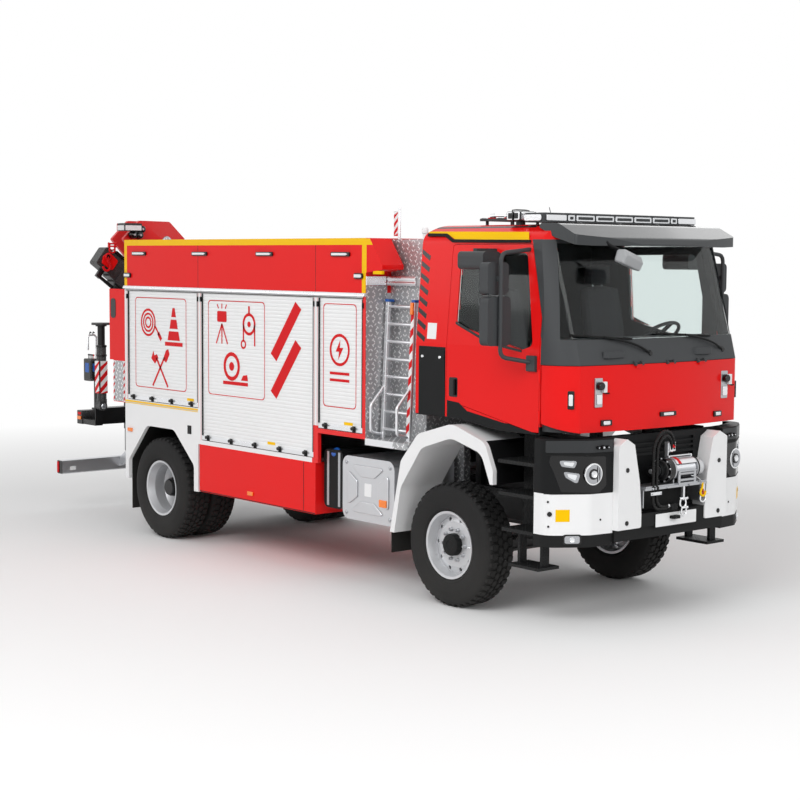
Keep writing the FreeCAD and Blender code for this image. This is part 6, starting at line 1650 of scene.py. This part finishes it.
def tank_cover(x0, x1, z0, z1, face):
    """The right tank's cover: four raised fields that leave an X, bolts and a marker."""
    cx, cz, e, g = (x0 + x1) / 2, (z0 + z1) / 2, 0.075, 0.050
    for name, field in (
            ("top", [(x0 + e + g, z1 - e), (x1 - e - g, z1 - e), (cx + 0.095, cz + 0.115),
                     (cx - 0.095, cz + 0.115)]),
            ("bottom", [(x0 + e + g, z0 + e), (x1 - e - g, z0 + e), (cx + 0.095, cz - 0.115),
                        (cx - 0.095, cz - 0.115)]),
            ("rear", [(x0 + e, z0 + e + g), (x0 + e, z1 - e - g), (cx - 0.150, cz + 0.075),
                      (cx - 0.150, cz - 0.075)]),
            ("front", [(x1 - e, z0 + e + g), (x1 - e, z1 - e - g), (cx + 0.150, cz + 0.075),
                       (cx + 0.150, cz - 0.075)])):
        plate(f"tank_field_{name}", -1, face, face + 0.012, rounded(field, 0.035, 5), "aluminium",
              bevel=0.008)
    label = rect(cx - 0.050, cx + 0.050, cz - 0.060, cz + 0.060, 0.008)
    plate("tank_label", -1, face, face + 0.002, label, "white", bevel=0.0005)
    bolt = [(0.0, -0.012), (0.010, -0.012), (0.013, -0.009), (0.013, -0.003), (0.022, -0.002), (0.024, 0.0)]
    for i, (x, z) in enumerate([(x, z) for z in (z0 + 0.060, z1 - 0.060) for x in (x0 + 0.060, x1 - 0.060)]):
        lathe(f"tank_bolt_{i}", bolt, "y", (x, -face, z), "steel", count=24)
    marker = rect(x1 - 0.195, x1 - 0.095, z0 + 0.165, z0 + 0.232, 0.008)
    plate("tank_marker", -1, face, face + 0.022, marker, "orange")


tank_cover(F - 1.465, F - 0.712, 0.612, 1.205, 1.195)
CAP = [(0.0, 0.020), (0.038, 0.020), (0.046, 0.015), (0.050, 0.004), (0.050, 0.0)]
cap = lathe("small_tank_cap", CAP, "z", (0, 0, 0), "blue", count=16)
way = Vector((0, -0.75, 0.66)).normalized()
at = Vector((F - 1.620, -1.110, 1.170)) + way * 0.060
cap.data.transform(Matrix.Translation(at) @ way.to_track_quat("Z", "Y").to_matrix().to_4x4())
for i, x in enumerate((F - 1.70, F - 1.53)):
    plate(f"small_tank_strap_{i}", -1, 1.1852, 1.1885, rect(x - 0.016, x + 0.016, 0.70, 1.215, 0.004),
          "steel", bevel=0.001)

# %% [markdown]
# ## Roof deck, its hatches, and the body's rear shutter and corner boards
# These faces show only when the truck is turned, so they are simpler: tread sheet, lids with hinges, and one
# folded profile for the rear shutter, where each slat could be a mesh.

# %% Roof deck
DECK = 3.160
solid("roof_deck", "z", DECK + 0.0005, DECK + 0.003,
      rect(BODY_REAR + 0.075, BODY_FRONT - 0.075, -1.165, 1.165), "tread", bevel=0.0)
for i, (x, s) in enumerate(((F - 4.55, -1), (F - 4.55, 1), (F - 2.60, -1), (F - 2.60, 1))):
    y = s * 0.62
    lid = rect(x - 0.62, x + 0.62, y - 0.40, y + 0.40, 0.05)
    solid(f"roof_hatch_{i}", "z", DECK + 0.003, DECK + 0.024, lid, "bright", bevel=0.008)
    for k, at in enumerate((x - 0.45, x + 0.45)):
        hinge = rect(at - 0.045, at + 0.045, *span(s * 1.02, s * 1.06), 0.008)
        solid(f"hatch_hinge_{i}_{k}", "z", DECK + 0.003, DECK + 0.030, hinge, "gloss_black")
    handle = ((-0.08, 0.020), (-0.08, 0.045), (0.08, 0.045), (0.08, 0.020))
    tube(f"hatch_handle_{i}", [(x + dx, s * 0.31, DECK + dz) for dx, dz in handle], 0.008, "chrome", order=2)
SHUTTER_ROWS, SHUTTER_LOW, SHUTTER_HIGH, SHUTTER_HALF = 30, 1.46, 2.66, 0.82
z0, z1, face = SHUTTER_LOW, SHUTTER_HIGH, BODY_REAR - 0.0005
step = (z1 - z0) / SHUTTER_ROWS
SLAT = ((0.006, 0.04), (0.0095, 0.2), (0.0100, 0.5), (0.0095, 0.8), (0.006, 0.96))
profile = [(face - out, z0 + (i + t) * step) for i in range(SHUTTER_ROWS) for out, t in SLAT]
solid("rear_shutter", "y", -SHUTTER_HALF, SHUTTER_HALF, [(face, z0)] + profile + [(face, z1)], "white",
      bevel=0.0)
channel = rounded([(face, z0 - 0.04), (face - 0.016, z0 - 0.04), (face - 0.016, z1 + 0.05),
                   (face, z1 + 0.05)], 0.003)
for i, s in enumerate((-1, 1)):
    plate(f"rear_channel_{i}", s, SHUTTER_HALF + 0.0005, SHUTTER_HALF + 0.035, channel, "bright", bevel=0.002)
HEAD_LIP = [(0.0, z1 + 0.0005), (0.014, z1 + 0.0005), (0.016, z1 + 0.02), (0.014, z1 + 0.05),
            (0.0, z1 + 0.05)]
FOOT_LIP = [(0.0, z0 - 0.04), (0.014, z0 - 0.04), (0.018, z0 - 0.02), (0.014, z0 - 0.0005),
            (0.0, z0 - 0.0005)]
for name, lip in (("head", HEAD_LIP), ("foot", FOOT_LIP)):
    outline = [(face - out, z) for out, z in lip]
    solid(f"rear_shutter_{name}", "y", 0.0005 - SHUTTER_HALF, SHUTTER_HALF - 0.0005, outline, "bright",
          bevel=0.002)
for i, y in enumerate((-0.5, 0.5)):
    latch = rect(y - 0.06, y + 0.06, z0 - 0.032, z0 - 0.008, 0.006)
    solid(f"rear_latch_{i}", "x", face - 0.030, face - 0.0180, latch, "gloss_black")


# %% Film on the corner boards
def rear_film(suffix, s):
    low, high = span(s * 0.98, s * 0.90)
    stripes(f"rear_film_{suffix}", "x", face, face - 0.0015, low, high, SHUTTER_LOW, SHUTTER_HIGH, count=12,
            slant=s * 1.0)


sided(rear_film)

# %% [markdown]
# ## Camera, lights and floor
# The truck stands in a white studio. A wall behind it would cast its edge on the glass; the floor fades to
# white with distance instead, and the world is white to the rays that show it.

# %% Camera, lights and floor
scene = bpy.context.scene
scene.view_settings.view_transform = "Standard"
LENS, SENSOR_WIDTH = 74.492235, 36.0      # mm
YAW, PITCH, ROLL = math.radians(49.854), math.radians(-4.866), math.radians(0.391)
EYE = (13.331, -10.715, 3.031)
ahead = Vector((-math.sin(YAW) * math.cos(PITCH), math.cos(YAW) * math.cos(PITCH), math.sin(PITCH)))
right = Vector((math.cos(YAW), math.sin(YAW), 0))
up = right.cross(ahead)
right, up = right * math.cos(ROLL) + up * math.sin(ROLL), up * math.cos(ROLL) - right * math.sin(ROLL)
cam = linked("camera", bpy.data.cameras.new("camera"))
cam.data.lens = LENS
cam.data.sensor_width = SENSOR_WIDTH
cam.data.clip_end = 200
pose = Matrix((right, up, -ahead)).transposed().to_4x4()
pose.translation = EYE
cam.matrix_world = pose
scene.camera = cam


def seen_rays(tree):
    """1 where a ray shows the white backdrop itself: seen straight, mirrored or through glass."""
    rays = tree.nodes.new("ShaderNodeLightPath").outputs
    mirrored = math_node(tree, "MAXIMUM", rays["Is Glossy Ray"], rays["Is Transmission Ray"])
    return math_node(tree, "MAXIMUM", rays["Is Camera Ray"], mirrored)


FLOOR_HALF, NEAR, FADE = 60, 6.0, 8.0     # the floor turns white from NEAR on, over a length of FADE
corners = [(-FLOOR_HALF, -FLOOR_HALF, 0), (FLOOR_HALF, -FLOOR_HALF, 0), (FLOOR_HALF, FLOOR_HALF, 0),
           (-FLOOR_HALF, FLOOR_HALF, 0)]
floor = link_mesh("floor", corners, [(0, 1, 2, 3)])
floor_mat = bpy.data.materials.new("floor")
floor_mat.use_nodes = True
tree = floor_mat.node_tree
shader = tree.nodes["Principled BSDF"]
shader.inputs["Base Color"].default_value = (0.92, 0.92, 0.92, 1)
shader.inputs["Roughness"].default_value = 0.9
place = tree.nodes.new("ShaderNodeTexCoord")
distance = tree.nodes.new("ShaderNodeVectorMath")
distance.operation = "LENGTH"
tree.links.new(place.outputs["Object"], distance.inputs[0])
far = math_node(tree, "DIVIDE", math_node(tree, "SUBTRACT", distance.outputs["Value"], NEAR), FADE,
                clamp=True)
backdrop = tree.nodes.new("ShaderNodeEmission")
tree.links.new(seen_rays(tree), backdrop.inputs["Strength"])
blend_floor = tree.nodes.new("ShaderNodeMixShader")
for socket, source in enumerate((far, shader.outputs[0], backdrop.outputs[0])):
    tree.links.new(source, blend_floor.inputs[socket])
tree.links.new(blend_floor.outputs[0], tree.nodes["Material Output"].inputs["Surface"])
floor.data.materials.append(floor_mat)

AMBIENT = 0.50                           # the world's light on the truck; it shows as full white itself
world = bpy.data.worlds.new("studio")
world.use_nodes = True
tree = world.node_tree
background = tree.nodes["Background"]
background.inputs["Color"].default_value = (1.0, 1.0, 1.0, 1)
strength = math_node(tree, "ADD", math_node(tree, "MULTIPLY", seen_rays(tree), 1 - AMBIENT), AMBIENT)
tree.links.new(strength, background.inputs["Strength"])
scene.world = world


# %% Lights
def area(name, place, target, size, power):
    light = bpy.data.lights.new(name, "AREA")
    light.shape = "RECTANGLE"
    light.size, light.size_y = size
    light.energy = power
    obj = linked(name, light)
    obj.location = place
    obj.rotation_euler = (Vector(target) - Vector(place)).to_track_quat("-Z", "Y").to_euler()


area("key", (6, -12, 10), (0, 0, 1.5), (10, 6), 980)
area("front", (14, -1, 6), (2, 0, 1.5), (8, 5), 400)
area("fill", (-10, -12, 7), (-2, 0, 1.5), (10, 6), 260)
area("back", (-4, 14, 9), (0, 0, 1.5), (12, 6), 300)
